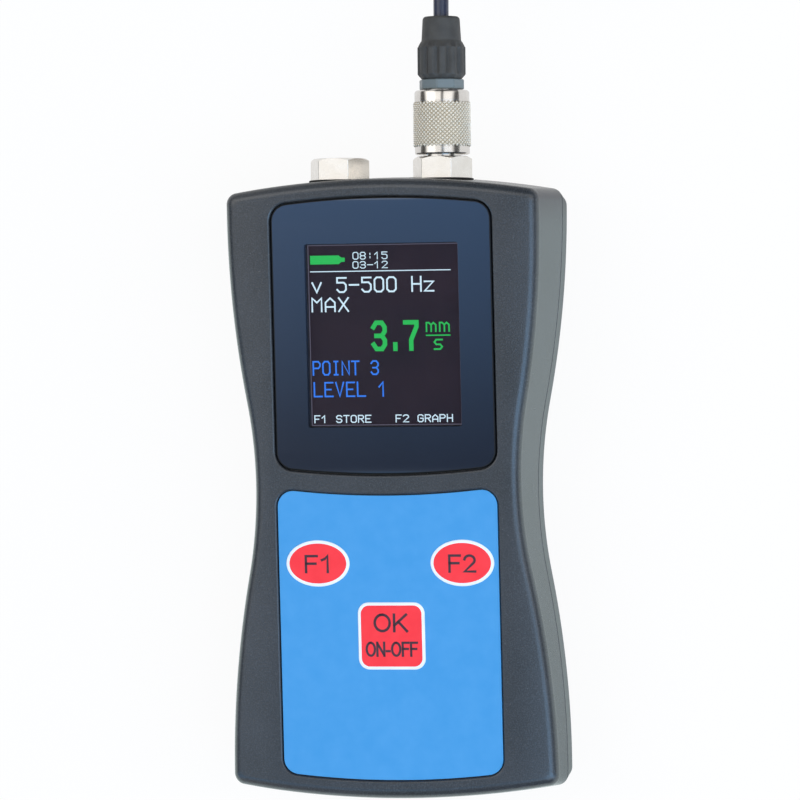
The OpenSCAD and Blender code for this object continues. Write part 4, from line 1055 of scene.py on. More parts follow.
def make_lead():
    """The lead in one tube, with its length and its middle line."""
    path = lead_path()
    length = sum((b - a).length for a, b in zip(path, path[1:]))
    piece = finish_piece("lead", tube(path, LEAD_D / 2, 14), "cable", stands_for=["sensor_lead", "lead_coil"],
                         crease=50)
    return piece, length, path


def make_tie():
    """Strap round the coil, with its free end laid over itself."""
    x0, x1, z0, z1, bend = COIL_X + 12.2, COIL_X + 22.0, 0.95, 13.1, 1.2
    t, half = TIE_T - 0.1, TIE_W / 2
    flap_half = half - 0.3

    def loop(grow):
        centres = [(x1 - bend, z1 - bend, 0), (x0 + bend, z1 - bend, 90), (x0 + bend, z0 + bend, 180),
                   (x1 - bend, z0 + bend, 270)]
        r = bend + grow
        return [(x + r * cos(radians(a + s)), z + r * sin(radians(a + s)))
                for x, z, a in centres for s in (0, 15, 30, 45, 60, 75, 90)]

    def strap(points_in, points_out, y0, y1, closed):
        e = 0.15
        rings = []
        for (xi, zi), (xo, zo) in zip(points_in, points_out):
            a, b = Vector((xi, 0, zi)), Vector((xo, 0, zo))
            way = (b - a).normalized()
            edge = [(a, y0 + e), (a + way * e, y0), (b - way * e, y0), (b, y0 + e), (b, y1 - e),
                    (b - way * e, y1), (a + way * e, y1), (a, y1 - e)]
            rings.append([(p.x, y, p.z) for p, y in edge])
        return loft(rings, closed)

    band = strap(loop(0), loop(t), COIL_Y - half, COIL_Y + half, True)
    flap = strap(loop(t + 0.02)[2:11], loop(2 * t)[2:11], COIL_Y - flap_half, COIL_Y + flap_half, False)
    finish_piece("lead_tie_strap", joined([band, flap]), "tie", stands_for=["lead_tie"],
                 crease=40)


# Plug

def make_boot():
    """Strain relief: chamfered shoulders, round-ended flutes, coned neck."""
    foot, top = BOOT_Y, NECK_Y
    f0, f1 = foot + 1.0, top - 1.35
    lead_r, flute_steps, flute_depth = LEAD_D / 2, 24, 0.42
    walls = [(PLUG_BORE, foot), (BOOT_R - 0.95, foot), (BOOT_R - 0.75, foot + 0.12),
             (BOOT_R - 0.1, foot + 0.85)]
    walls += [(BOOT_R, f0 + (f1 - f0) * i / flute_steps) for i in range(flute_steps + 1)]
    walls += [(BOOT_R - 0.12, top - 1.2), (NECK_R + 0.25, top - 0.35), (NECK_R + 0.05, top - 0.12),
              (NECK_R, top + 0.15), (NECK_END_R + 0.08, LEAD_Y - 0.55), (NECK_END_R - 0.02, LEAD_Y - 0.25),
              (NECK_END_R - 0.3, LEAD_Y), (lead_r + 0.12, LEAD_Y), (lead_r + 0.02, LEAD_Y - 0.3),
              (lead_r + 0.02, LEAD_Y - 4.0), (2.4, foot + 3.0), (PLUG_BORE, foot + 2.8)]

    def fluted(r, h, a):
        if r < NECK_R + 0.3 or h > top - 0.5 or h < foot + 0.1:
            return r
        ends = min(ease((h - foot - 0.25) / 1.1), ease((top - 0.7 - h) / 1.1))
        wave = cos(FLUTES * a)
        return r - flute_depth * ends * max(0.0, wave + 0.25) ** 1.2 * min(1.0, (r - NECK_R) / 0.6)

    mesh = turned(walls, 144, closed=True, shape=fluted)
    finish_piece("strain_relief_boot", placed(mesh, on_axis(SOCKET_X)), "boot", stands_for=["strain_relief"],
                 crease=35)


def make_collar():
    """Eight-sided collar with eased edges."""
    r, low, high, e = COLLAR_R, COLLAR_Y, COLLAR_Y + COLLAR_LEN, 0.16
    sides = 8

    def ring(radius, z):
        made = []
        for k in range(sides):
            a, b = 2 * pi * k / sides, 2 * pi * (k + 1) / sides
            for t in (0.06, 0.35, 0.65, 0.94):
                x, y = cos(a) * (1 - t) + cos(b) * t, sin(a) * (1 - t) + sin(b) * t
                made.append((radius * x, radius * y, z))
        return made

    def hole(z):
        steps = 4 * sides
        turns = [2 * pi * (k + 0.5) / steps for k in range(steps)]
        return [(PLUG_BORE * cos(t), PLUG_BORE * sin(t), z) for t in turns]

    rings = [hole(low), ring(r - e, low), ring(r, low + e), ring(r, high - e), ring(r - e, high), hole(high)]
    finish_piece("plug_grip_collar", placed(loft(rings, closed=True), on_axis(SOCKET_X)), "collar",
                 stands_for=["plug_collar"], crease=20)


def make_ring():
    """Knurled coupling ring with its threaded nose."""
    grip0, grip1 = GRIP_Y + BAND_LOW, GRIP_TOP - BAND_HIGH
    core, root, neck = RING_R - 0.24, NOSE_R - THREAD_ROOT, NOSE_R - 0.25
    inner, seat = SLEEVE_R + RUN_GAP, SHOULDER_R + RUN_GAP
    walls = [(inner, NOSE_Y), (NOSE_R - 0.35, NOSE_Y), (root, NOSE_Y + 0.25), (root, GRIP_Y - 0.5),
             (neck, GRIP_Y - 0.35), (neck, GRIP_Y), (BAND_R - 0.3, GRIP_Y), (BAND_R - 0.1, GRIP_Y + 0.08),
             (BAND_R, GRIP_Y + 0.28), (BAND_R, grip0 - 0.11), (core, grip0 - 0.1), (core, grip1 + 0.1),
             (BAND_R, grip1 + 0.11), (BAND_R, GRIP_TOP - 0.45), (BAND_R - 0.08, GRIP_TOP - 0.2),
             (BAND_R - 0.3, GRIP_TOP), (seat, GRIP_TOP), (seat, LEDGE_Y), (inner, LEDGE_Y)]
    body = turned(walls, 120, closed=True)
    body.materials.append(finishes["nickel"])
    teeth = knurl("knurl_nickel", RING_R + 0.1, grip0, grip1 - grip0, KNURL_AROUND, KNURL_ROWS, KNURL_DEPTH)
    thread = spiral_wire("nickel", 4, root, root, 2.0, 0.1)
    placed(thread, Matrix.Translation((0, 0, NOSE_Y + 0.4)))
    mesh = placed(joined([body, teeth, thread]), on_axis(SOCKET_X))
    finish_piece("knurled_ring", mesh, None, body="coupling_ring", stands_for=["coupling_ring"],
                 crease=25)


def make_sleeve():
    """Fixed sleeve that the coupling ring turns on, with a shoulder over the ring's ledge."""
    bore, tail_r, tail_end = SLEEVE_R - 0.5, 3.2, GRIP_TOP + 3.5
    walls = [(bore, NOSE_Y - 0.2), (SLEEVE_R - 0.1, NOSE_Y - 0.2), (SLEEVE_R, NOSE_Y),
             (SLEEVE_R, LEDGE_Y + 0.1), (SHOULDER_R, LEDGE_Y + 0.1), (SHOULDER_R, GRIP_TOP - 0.1),
             (SHOULDER_R - 0.1, GRIP_TOP), (tail_r, GRIP_TOP), (tail_r, tail_end - 0.1),
             (tail_r - 0.1, tail_end), (bore, tail_end)]
    finish_piece("plug_inner_sleeve", placed(turned(walls, 72, closed=True), on_axis(SOCKET_X)), "nickel",
                 stands_for=["plug_sleeve"])


# Sockets

def make_socket(node, name, x):
    """Hexagonal nickel body with turned corners, a threaded barrel behind and a thread inside its mouth."""
    corner, flat, chamfer = HEX_AF / 2 / cos(pi / 6), HEX_AF / 2, HEX_TURN_D / 2
    turns = [radians(HEX_TURN + 60 * k) for k in range(6)]
    prism = loft([[(corner * cos(t), corner * sin(t), z) for t in turns] for z in (HEX_Y, HEX_TOP)])
    cap = [(0, HEX_Y - 1), (chamfer, HEX_Y - 1), (chamfer, HEX_TOP - 0.5), (flat + 0.12, HEX_TOP - 0.12),
           (flat - 0.1, HEX_TOP), (0, HEX_TOP)]
    root, bury, hole = BARREL_R - THREAD_ROOT, HEX_Y + 0.4, INSERT_R + 0.05
    barrel = [(0, BARREL_Y), (BARREL_R - 0.3, BARREL_Y), (root, BARREL_Y + 0.2), (root, bury), (0, bury)]
    bore = [(0, BARREL_Y - 1), (hole, BARREL_Y - 1), (hole, MOUTH_Y), (MOUTH_R, MOUTH_Y),
            (MOUTH_R, HEX_TOP - 0.35), (MOUTH_R + 0.3, HEX_TOP), (MOUTH_R + 0.3, HEX_TOP + 1),
            (0, HEX_TOP + 1)]
    body = carve(prism, turned(cap, 96), operation="INTERSECT")
    body = carve(body, turned(barrel, 96), operation="UNION")
    body = carve(body, turned(bore, 96))
    body.materials.clear()
    body.materials.append(finishes["hex_nickel"])
    inner = spiral_wire("hex_nickel", 5, MOUTH_R, MOUTH_R, 2.8, 0.09)
    placed(inner, Matrix.Translation((0, 0, MOUTH_Y + 0.3)))
    outer = spiral_wire("hex_nickel", 9, root, root, BARREL_LEN - 0.8, 0.12)
    placed(outer, Matrix.Translation((0, 0, BARREL_Y + 0.3)))
    finish_piece(name, placed(joined([body, inner, outer]), on_axis(x)), None, stands_for=[node],
                 crease=20)


def contact_shifts():
    """Moves from a socket's axis to its four contacts."""
    turns = [radians(45 + 90 * k) for k in range(4)]
    return [Matrix.Translation((CONTACT_RING_R * cos(t), CONTACT_RING_R * sin(t), 0)) for t in turns]


def make_insert(node, name, x):
    """Contact carrier with a raised rim round each contact."""
    top, low, r = MOUTH_Y - 0.2, BARREL_Y + 0.5, INSERT_R
    walls = [(0, low), (r - 0.15, low), (r, low + 0.15), (r, top - 0.12), (r - 0.12, top), (0, top)]
    drill = [(0, low - 1), (0.54, low - 1), (0.54, top + 1), (0, top + 1)]
    rim = [(0.56, top - 0.1), (0.76, top - 0.1), (0.76, top + 0.08), (0.66, top + 0.13), (0.56, top + 0.08)]
    holes = [placed(turned(drill, 20), shift) for shift in contact_shifts()]
    rims = [placed(turned(rim, 20, closed=True), shift) for shift in contact_shifts()]
    mesh = joined([carve(turned(walls, 64), joined(holes))] + rims)
    finish_piece(name, placed(mesh, on_axis(x)), "insert", stands_for=[node], crease=30)


def make_contacts(node, name, x):
    """Turned sleeves with a countersunk mouth and a long tail behind."""
    top, low = MOUTH_Y - 0.2, BARREL_Y - CONTACT_TAIL
    walls = [(0, low), (0.42, low), (0.5, low + 0.1), (0.5, top - 0.35), (0.44, top - 0.2),
             (0.36, top - 0.22), (0.33, top - 0.4), (0.33, top - 4.2), (0, top - 4.2)]
    parts = [placed(turned(walls, 20), shift) for shift in contact_shifts()]
    finish_piece(name, placed(joined(parts), on_axis(x)), "gold", stands_for=[node],
                 crease=30)


def make_washers():
    """Sealing washers under the two sockets."""
    bore = BARREL_R + 0.1
    walls = rounded([(bore, SPOT_Y), (WASHER_R, SPOT_Y), (WASHER_R, HEX_Y), (bore, HEX_Y)], 0.18, 3, True)
    parts = [placed(turned(walls, 72, closed=True), on_axis(x)) for x in (-SOCKET_X, SOCKET_X)]
    finish_piece("sealing_washers", joined(parts), "rubber", stands_for=["socket_washers"],
                 crease=50)


# Panel

def window_loop(grow, z):
    """Outline of the clear part of the lens."""
    flat = soft_box(0, SCREEN_V, SCREEN_W + 2 * grow, SCREEN_LEN + 2 * grow, 0.4, (0, 30, 60, 90))
    return [(x, y, z) for x, y in flat]


def make_lens():
    """Lens with eased edges, its sides and eased edge black as painted shade of the gap round it, its print
    leaving the screen's window clear.
    """
    low, high = -LENS_SINK - LENS_T, -LENS_SINK
    back, front = 0.12, 0.32
    turns = [radians(t) for t in (0, 30, 60, 90)]
    rings = [lens_ring(-back, low), lens_ring(0, low + back)]
    rings += [lens_ring(-front * (1 - cos(t)), high - front * (1 - sin(t))) for t in turns]
    n = len(rings[0])
    points = [p for ring in rings for p in ring]
    faces = [(k * n + i, k * n + (i + 1) % n, (k + 1) * n + (i + 1) % n, (k + 1) * n + i)
             for k in range(len(rings) - 1) for i in range(n)]
    # Side and eased-edge faces take the black of painted shade, which widens the dark gap line round the lens
    marks = [2] * len(faces)
    for start, z in ((0, low), ((len(rings) - 1) * n, high)):
        loop = window_loop(0.25, z)
        first = len(points)
        points += loop
        names = [start + i for i in range(n)] + [first + i for i in range(len(loop))]
        outer = [Vector((p[0], p[1], 0)) for p in points[start:start + n]]
        hole = [Vector((p[0], p[1], 0)) for p in loop]
        for triangle in tessellate_polygon([outer, hole]):
            faces.append(tuple(names[i] for i in triangle))
            marks.append(0)
        faces.append(tuple(range(first, first + len(loop))))
        marks.append(1)
    mesh = bpy.data.meshes.new("lens")
    mesh.from_pydata(points, [], faces)
    mesh.materials.append(finishes["lens_mask"])
    mesh.materials.append(finishes["lens_window"])
    mesh.materials.append(finishes["lens_edge"])
    for face, mark in zip(mesh.polygons, marks):
        face.material_index = mark
    tidy = bmesh.new()
    tidy.from_mesh(mesh)
    bmesh.ops.recalc_face_normals(tidy, faces=tidy.faces)
    tidy.to_mesh(mesh)
    tidy.free()
    finish_piece("lens", placed(mesh, on_face()), None, stands_for=["display_lens"],
                 crease=25)


# Strokes of the screen's letters: points across and up on a grid, with a slash where the pen lifts
STROKES = {
    "0": "10 30 41 45 36 16 05 01 10 30", "1": "04 26 20", "2": "05 16 36 45 44 00 40",
    "3": "05 16 36 45 44 33 42 41 30 10 01 / 13 33", "5": "46 06 04 34 43 41 30 10 01", "7": "06 46 45 22 20",
    "8": "13 04 05 16 36 45 44 33 13 02 01 10 30 41 42 33", ":": "21 22 / 24 25", "-": "03 43", ".": "20 21",
    "A": "00 04 26 44 40 / 02 42", "E": "46 06 00 40 / 03 33", "F": "46 06 00 / 03 33",
    "G": "45 36 16 05 01 10 30 41 43 23", "H": "00 06 / 40 46 / 03 43", "I": "10 30 / 20 26 / 16 36",
    "L": "06 00 40", "M": "00 06 24 46 40", "N": "00 06 40 46", "O": "10 30 41 45 36 16 05 01 10 30",
    "P": "00 06 36 45 44 33 03", "R": "00 06 36 45 44 33 03 / 23 40",
    "S": "45 36 16 05 04 13 33 42 41 30 10 01", "T": "06 46 / 20 26", "V": "06 20 46", "X": "00 46 / 06 40",
    "m": "00 04 14 23 20 / 23 34 43 40", "s": "44 14 03 12 32 41 30 00", "v": "04 20 44", "z": "04 44 00 40",
}


def ribbon(path, width, w, thick):
    """Flat stroke of even width through points, standing from w, with mitred bends and square ends."""
    half = width / 2
    ways = [(b - a).normalized() for a, b in zip(path, path[1:])]
    path = [path[0] - ways[0] * half] + path[1:-1] + [path[-1] + ways[-1] * half]
    rings = []
    for k, point in enumerate(path):
        before, after = ways[max(k - 1, 0)], ways[min(k, len(ways) - 1)]
        across = Vector((-(before + after).y, (before + after).x)).normalized()
        reach = half / max(across.dot(Vector((-before.y, before.x))), 0.55)
        left, right = point + across * reach, point - across * reach
        top = w + thick
        rings.append([(p.x, p.y, z) for p, z in ((right, w), (left, w), (left, top), (right, top))])
    return loft(rings)


def readout(text, box, w, finish, width, high):
    """Lettering of the screen: even strokes, every letter as wide as the next, filling a box on the face."""
    u0, v0, u1, v1 = box
    pitch = 5.7
    sx = (u1 - u0 - width) / (pitch * (len(text) - 1) + 4)
    sy = (v1 - v0 - width) / high
    parts = []
    for k, letter in enumerate(text):
        for stroke in STROKES.get(letter, "").split("/"):
            path = [Vector((u0 + width / 2 + (k * pitch + int(p[0])) * sx, v0 + width / 2 + int(p[1]) * sy))
                    for p in stroke.split()]
            if path:
                parts.append(ribbon(path, width, w, LETTER_T))
    return painted(joined(parts), finish)


def arc(cx, cy, rx, ry, start, end, steps=14):
    """Points of an elliptic arc between two angles in degrees."""
    turns = [radians(start + (end - start) * i / steps) for i in range(steps + 1)]
    return [(cx + rx * cos(t), cy + ry * sin(t)) for t in turns]


# Strokes of the key legends on a letter height of 6, each letter with its width
LEGENDS = {
    "F": (3.6, [[(0, 0), (0, 6), (3.6, 6)], [(0, 3.15), (3.1, 3.15)]]),
    "1": (2.0, [[(0.2, 4.5), (1.2, 5.0), (2.0, 6.0), (2.0, 0)]]),
    "2": (3.7, [arc(1.85, 4.3, 1.75, 1.7, 170, -38, 12) + [(0.1, 0), (3.7, 0)]]),
    "O": (5.0, [arc(2.5, 3.0, 2.5, 3.0, 90, 460, 36)]),
    "K": (4.2, [[(0, 0), (0, 6)], [(4.0, 6), (0.1, 2.1)], [(1.4, 3.4), (4.2, 0)]]),
    "N": (4.2, [[(0, 0), (0, 6)], [(0.15, 5.7), (4.05, 0.3)], [(4.2, 0), (4.2, 6)]]),
    "-": (1.8, [[(0, 2.1), (1.8, 2.1)]]),
}


def legend(text, box, w, finish, width):
    """Lettering of the keys: even strokes, each letter as wide as it needs, filling a box on the face."""
    u0, v0, u1, v1 = box
    gap = 1.5
    total = sum(LEGENDS[letter][0] for letter in text) + gap * (len(text) - 1)
    sx, sy = (u1 - u0 - width) / total, (v1 - v0 - width) / 6
    parts, at = [], 0.0
    for letter in text:
        for stroke in LEGENDS[letter][1]:
            path = [Vector((u0 + width / 2 + (at + x) * sx, v0 + width / 2 + y * sy)) for x, y in stroke]
            parts.append(ribbon(path, width, w, KEY_INK_T))
        at += LEGENDS[letter][0] + gap
    return painted(joined(parts), finish)


def painted(mesh, finish):
    """A mesh in one material."""
    mesh.materials.clear()
    mesh.materials.append(finishes[finish])
    for face in mesh.polygons:
        face.material_index = 0
    return mesh


def plate(loop_points, w0, w1, finish):
    """Thin flat body over an outline on the face."""
    mesh = loft([[(x, y, w) for x, y in loop_points] for w in (w0, w1)])
    mesh.materials.append(finishes[finish])
    return mesh


def oblong(u0, v0, u1, v1):
    return [(u0, v0), (u1, v0), (u1, v1), (u0, v1)]


# Words of the screen: text, the box that it fills on the face, its finish and the width of its strokes
SCREEN_WORDS = [
    ("08:15", (-5.88, 43.15, 0.9, 44.6), "glow_white", 0.17),
    ("03-12", (-5.92, 41.45, 0.9, 42.85), "glow_white", 0.17),
    ("v 5-500 Hz", (-14.0, 36.9, 9.8, 39.9), "glow_white", 0.32),
    ("MAX", (-14.1, 33.3, -6.8, 36.1), "glow_white", 0.3),
    ("3.7", (-2.6, 25.8, 6.6, 31.6), "glow_green", 0.85),
    ("mm", (7.95, 29.3, 12.6, 31.2), "glow_green", 0.3),
    ("s", (9.4, 25.9, 11.2, 28.0), "glow_green", 0.32),
    ("POINT 3", (-14.2, 21.3, -1.3, 24.1), "glow_blue", 0.3),
    ("LEVEL 1", (-14.1, 17.2, 0.3, 20.1), "glow_blue", 0.3),
    ("F1 STORE", (-14.1, 12.3, -3.0, 13.8), "glow_white", 0.2),
    ("F2 GRAPH", (1.7, 12.3, 12.8, 13.8), "glow_white", 0.2),
]


def make_screen():
    """Display module with its glass standing in the window, and the lit picture on it."""
    body = copy_of("display_module")
    body.materials.append(finishes["module_frame"])
    picture_drop = 0.38
    w = -LENS_SINK - LENS_T - GLUE_T - picture_drop
    half_w, low, high = SCREEN_W / 2, SCREEN_V - SCREEN_LEN / 2, SCREEN_V + SCREEN_LEN / 2
    parts = [plate(oblong(-half_w, low, half_w, high), w - LETTER_T, w, "screen_ground")]
    e = 0.16
    for edge in ((-half_w, high - e, half_w, high), (-half_w, low, half_w, low + e),
                 (-half_w, low, -half_w + e, high), (half_w - e, low, half_w, high)):
        parts.append(plate(oblong(*edge), w, w + LETTER_T, "glow_edge"))
    s = w + 0.005
    battery = [(-14.13, 42.35), (-8.6, 42.35), (-8.1, 42.75), (-7.4, 42.8), (-7.4, 43.55), (-8.1, 43.6),
               (-8.6, 44.0), (-14.13, 44.0)]
    parts.append(plate(battery, s, s + LETTER_T, "glow_green"))
    parts.append(plate(oblong(-14.2, 40.88, 13.0, 41.06), s, s + LETTER_T, "glow_white"))
    for text, box, finish, width in SCREEN_WORDS:
        high_rows = 4 if text in ("mm", "s") else 6
        parts.append(readout(text, box, s, finish, width, high_rows))
    parts.append(plate(oblong(7.95, 28.55, 12.7, 28.8), s, s + LETTER_T, "glow_green"))
    mesh = placed(joined(parts), on_face())
    finish_piece("display_unit", joined([body, mesh]), None, stands_for=["display_module"],
                 crease=30)


def oval(cu, cv, w, l):
    steps = 64
    turns = [2 * pi * i / steps for i in range(steps)]
    return [(cu + w / 2 * cos(t), cv + l / 2 * sin(t)) for t in turns]


def soft_square(cu, cv, w, l, r):
    return soft_box(cu, cv, w, l, r, range(0, 91, 10))


def embossed(outline, cu, cv, w0, w1, finish):
    """Raised field with a soft edge."""
    ease_in = 0.25

    def ring(shrink, w):
        made = []
        for x, y in outline:
            d = Vector((x - cu, y - cv))
            d *= max(0.0, 1 - shrink / d.length)
            made.append((cu + d.x, cv + d.y, w))
        return made

    turns = [radians(t) for t in (0, 30, 60, 90)]
    rings = [ring(-0.02, w0)] + [ring(ease_in * (1 - cos(t)), w0 + (w1 - w0) * sin(t)) for t in turns]
    mesh = loft(rings)
    mesh.materials.append(finishes[finish])
    return mesh


# Words of the keys: text, middle, width and height on the face, and the width of the strokes
KEY_WORDS = [("F1", -13.9, -14.3, 4.7, 3.5, 0.48), ("F2", 14.3, -14.3, 5.4, 3.5, 0.48),
             ("OK", 0.2, -25.5, 6.7, 3.6, 0.5), ("ON-OFF", 0.3, -30.5, 10.2, 2.9, 0.44)]


def make_keypad():
    """Printed film with embossed key fields and their legends."""
    low, high = -PAD_SINK - FILM_T, -PAD_SINK
    film = loft([pad_ring(0, low), pad_ring(0, high - 0.1), pad_ring(-0.03, high - 0.03),
                 pad_ring(-0.1, high)])
    film.materials.append(finishes["film_blue"])
    parts = [film]

    def key(shape, cu, cv, w, l, *corners):
        """A red field on a white one, which shows as a rim."""
        rim = 2 * KEY_RIM
        outer, inner = shape(cu, cv, w, l, *corners[:1]), shape(cu, cv, w - rim, l - rim, *corners[1:])
        parts.append(embossed(outer, cu, cv, high - 0.05, high + 0.13, "film_white"))
        parts.append(embossed(inner, cu, cv, high, high + 0.15, "film_red"))

    key(oval, -13.7, -14.2, KEY_W, KEY_LEN)
    key(oval, 14.3, -14.2, KEY_W, KEY_LEN)
    key(soft_square, 0.3, -28.0, 13.0, 12.8, 2.1, 1.65)
    ink = high + 0.145
    for text, u, v, w, l, width in KEY_WORDS:
        parts.append(legend(text, (u - w / 2, v - l / 2, u + w / 2, v + l / 2), ink, "ink", width))
    finish_piece("printed_keypad", placed(joined(parts), on_face()), None, stands_for=["keypad_film"],
                 crease=40)


# Back

def make_cover():
    """Sliding battery cover, cut to the back's outline, with grip grooves and a slight bevel on its edges."""
    mesh = carve(loft(rear_edge() + [level(SEAM_Z, 0, CORNER_R)]), cover_form(0, -2), operation="INTERSECT")
    grooves = []
    longest, step, pitch = 14, 2.8, 1.6
    for i in range(-3, 4):
        half = (longest - abs(i) * step) / 2
        y = COVER_TOP_Y - 7 - (i + 3) * pitch
        shape = [(y - 0.05, -1.0), (y + 0.85, -1.0), (y + 0.85, 0.05), (y + 0.62, 0.42), (y + 0.18, 0.42),
                 (y - 0.05, 0.05)]
        grooves.append(loft([[(x, py, pz) for py, pz in shape] for x in (-half, half)]))
    mesh = carve(mesh, joined(grooves))
    finish_piece("sliding_cover", mesh, "rear_plastic", body="battery_cover", stands_for=["battery_cover"],
                 crease=28, bevel=0.12)


def make_cells():
    """Three round cells: a sleeve rolled over both ends, a stepped steel button and a steel base."""
    r, half = CELL_D / 2, CELL_LEN / 2
    top = half - BUTTON_H
    sleeve = [(0, -half + 0.12), (r - 1.3, -half + 0.12), (r - 1.3, -half + 0.03), (r - 0.5, -half + 0.03),
              (r - 0.14, -half + 0.2), (r, -half + 0.55), (r, top - 0.5), (r - 0.14, top - 0.15),
              (r - 0.5, top), (r - 1.2, top), (r - 1.25, top - 0.1), (0, top - 0.1)]
    button = [(0, top - 0.15), (3.6, top - 0.15), (3.6, top + 0.02), (2.75, top + 0.04), (2.66, top + 0.3),
              (2.6, half - 0.2), (2.42, half - 0.02), (0, half)]
    base = [(0, -half), (3.4, -half), (3.6, -half + 0.1), (3.6, -half + 0.2), (0, -half + 0.2)]
    for number, (x, way) in enumerate(((-CELL_PITCH, 1), (0, -1), (CELL_PITCH, 1)), 1):
        middle = BAY_Y - BAY_LEN / 2 + way * (BAY_LEN / 2 - PLATE_T - 0.1 - half)
        parts = []
        for walls, steps, finish in ((sleeve, 64, "cell"), (button, 48, "nickel"), (base, 48, "nickel")):
            part = turned(walls, steps)
            part.materials.append(finishes[finish])
            parts.append(part)
        lie = Matrix.Translation((x, middle, CELL_Z)) @ Matrix.Rotation(radians(-90 * way), 4, "X")
        finish_piece(f"cell_{number}", placed(joined(parts), lie), None, stands_for=[f"battery_{number}"],
                     crease=35)


def make_springs():
    """Coned contact springs, wide at the plate and narrow at the cell."""
    wire_r, end_gap = 0.25, 0.1
    rise = BAY_LEN - CELL_LEN - 2 * PLATE_T - end_gap - 2 * wire_r - 0.1
    foot = BAY_Y - BAY_LEN + PLATE_T
    parts = []
    for x, y, way in ((-CELL_PITCH, foot, 1), (0, BAY_Y - PLATE_T, -1), (CELL_PITCH, foot, 1)):
        wire = spiral_wire("steel", 2.5, 3.4, 2.0, rise, wire_r, 10, 48)
        stand = Matrix.Translation((x, y + way * 0.28, CELL_Z)) @ Matrix.Rotation(radians(-90 * way), 4, "X")
        parts.append(placed(wire, stand))
    finish_piece("springs", joined(parts), None, stands_for=["contact_springs"], crease=60)


def pressed_copy(name, node, finish, bevel, crease=30):
    """A CAD node's own shape with its edges eased."""
    finish_piece(name, copy_of(node), finish, stands_for=[node], crease=crease, bevel=bevel)


def make_screws(name, node, places, head_r, head_h, shank_r, shank_len, foot, slot_w):
    """Round-headed screws with a tapered cross recess and a rolled thread, their heads facing down."""
    head = turned([(0, -head_h), (head_r * 0.55, -head_h), (head_r * 0.86, -head_h * 0.82),
                   (head_r * 0.98, -head_h * 0.5), (head_r, -head_h * 0.25), (head_r, -0.05),
                   (head_r - 0.05, 0), (0, 0)], 40)
    arms = []
    for turn in (0, 90):
        w, l = slot_w / 2, head_r * 0.62
        arm = loft([[(-l * k, -w, z), (l * k, -w, z), (l * k, w, z), (-l * k, w, z)]
                    for k, z in ((1.15, -head_h - 0.5), (0.55, -head_h * 0.3))])
        arms.append(placed(arm, Matrix.Rotation(radians(turn + 20), 4, "Z")))
    head = carve(head, *arms)
    core = shank_r * 0.82
    shank = turned([(0, -0.2), (core, -0.2), (core, shank_len - 0.8), (shank_r * 0.3, shank_len),
                    (0, shank_len)], 24)
    for mesh in (head, shank):
        mesh.materials.clear()
        mesh.materials.append(finishes["steel"])
    pitch, rise = 0.8, shank_len - 1.4
    thread = spiral_wire("steel", rise / pitch, core, core, rise, shank_r * 0.17, 6, 20)
    placed(thread, Matrix.Translation((0, 0, 0.4)))
    one = joined([head, shank, thread])
    parts = [placed(one.copy(), Matrix.Translation((x, y, foot)) @ Matrix.Rotation(x + y, 4, "Z"))
             for x, y in places]
    finish_piece(name, joined(parts), None, stands_for=[node], crease=35)


# Board

def chip_legs(x, y, turn, out, count, pitch, reach):
    """A row of legs along one side of a chip at (x, y), found by a turn about the chip's middle."""
    shift = Matrix.Translation((x, y, BOARD_TOP + 0.01)) @ Matrix.Rotation(radians(turn), 4, "Z")
    return placed(row_of_legs("steel", count, pitch, reach), shift @ Matrix.Translation((0, out, 0)))


def make_chip(name, node, legs):
    """A chip's own body with its edges eased, and its rows of legs."""
    body = copy_of(node)
    body.materials.append(finishes["chip"])
    finish_piece(name, joined([body] + legs), None, stands_for=[node], crease=30,
                 bevel=0.03)


def make_chips():
    """Processor with legs on its four sides, and amplifiers with legs on two."""
    half = BOARD_LEN / 2
    legs = [chip_legs(3, PROCESSOR_IN - half, 90 * k, 4.4, 12, 0.6, 1.1) for k in range(4)]
    make_chip("processor", "processor_chip", legs)
    legs = []
    for x, y, out, count, pitch in ((-9, 0, 1.95, 4, 1.1), (9, 0, 1.95, 4, 1.1), (0, -8, 2.15, 7, 0.9)):
        legs += [chip_legs(x, half - AMPLIFIERS_IN + y, turn, out, count, pitch, 1.0) for turn in (0, 180)]
    make_chip("amplifiers", "amplifier_chips", legs)


def make_cans():
    """Capacitor cans with a waist near their foot, under the board on black feet with two cut corners."""
    r, length = 2.2, 5.4
    walls = [(0, -length), (r - 0.1, -length), (r, -5.2), (r, -1.5), (2.0, -1.25), (2.0, -1.05), (r, -0.8),
             (r, -0.5), (0, -0.5)]
    outline = [(-r, -r), (1.3, -r), (r, -1.3), (r, 1.3), (1.3, r), (-r, r)]
    cans = []
    for x in (-16, -10, 12):
        can = turned(rounded(walls, 0.12), 40)
        can.materials.append(finishes["can"])
        foot = loft([[(px, py, z) for px, py in outline] for z in (-0.6, 0.0)])
        foot.materials.append(finishes["chip"])
        stand = Matrix.Translation((x, BOARD_LEN / 2 - CANS_IN, BOARD_TOP - BOARD_T))
        cans.append(placed(joined([can, foot]), stand))
    finish_piece("capacitor_cans", joined(cans), None, stands_for=["board_capacitors"],
                 crease=35)


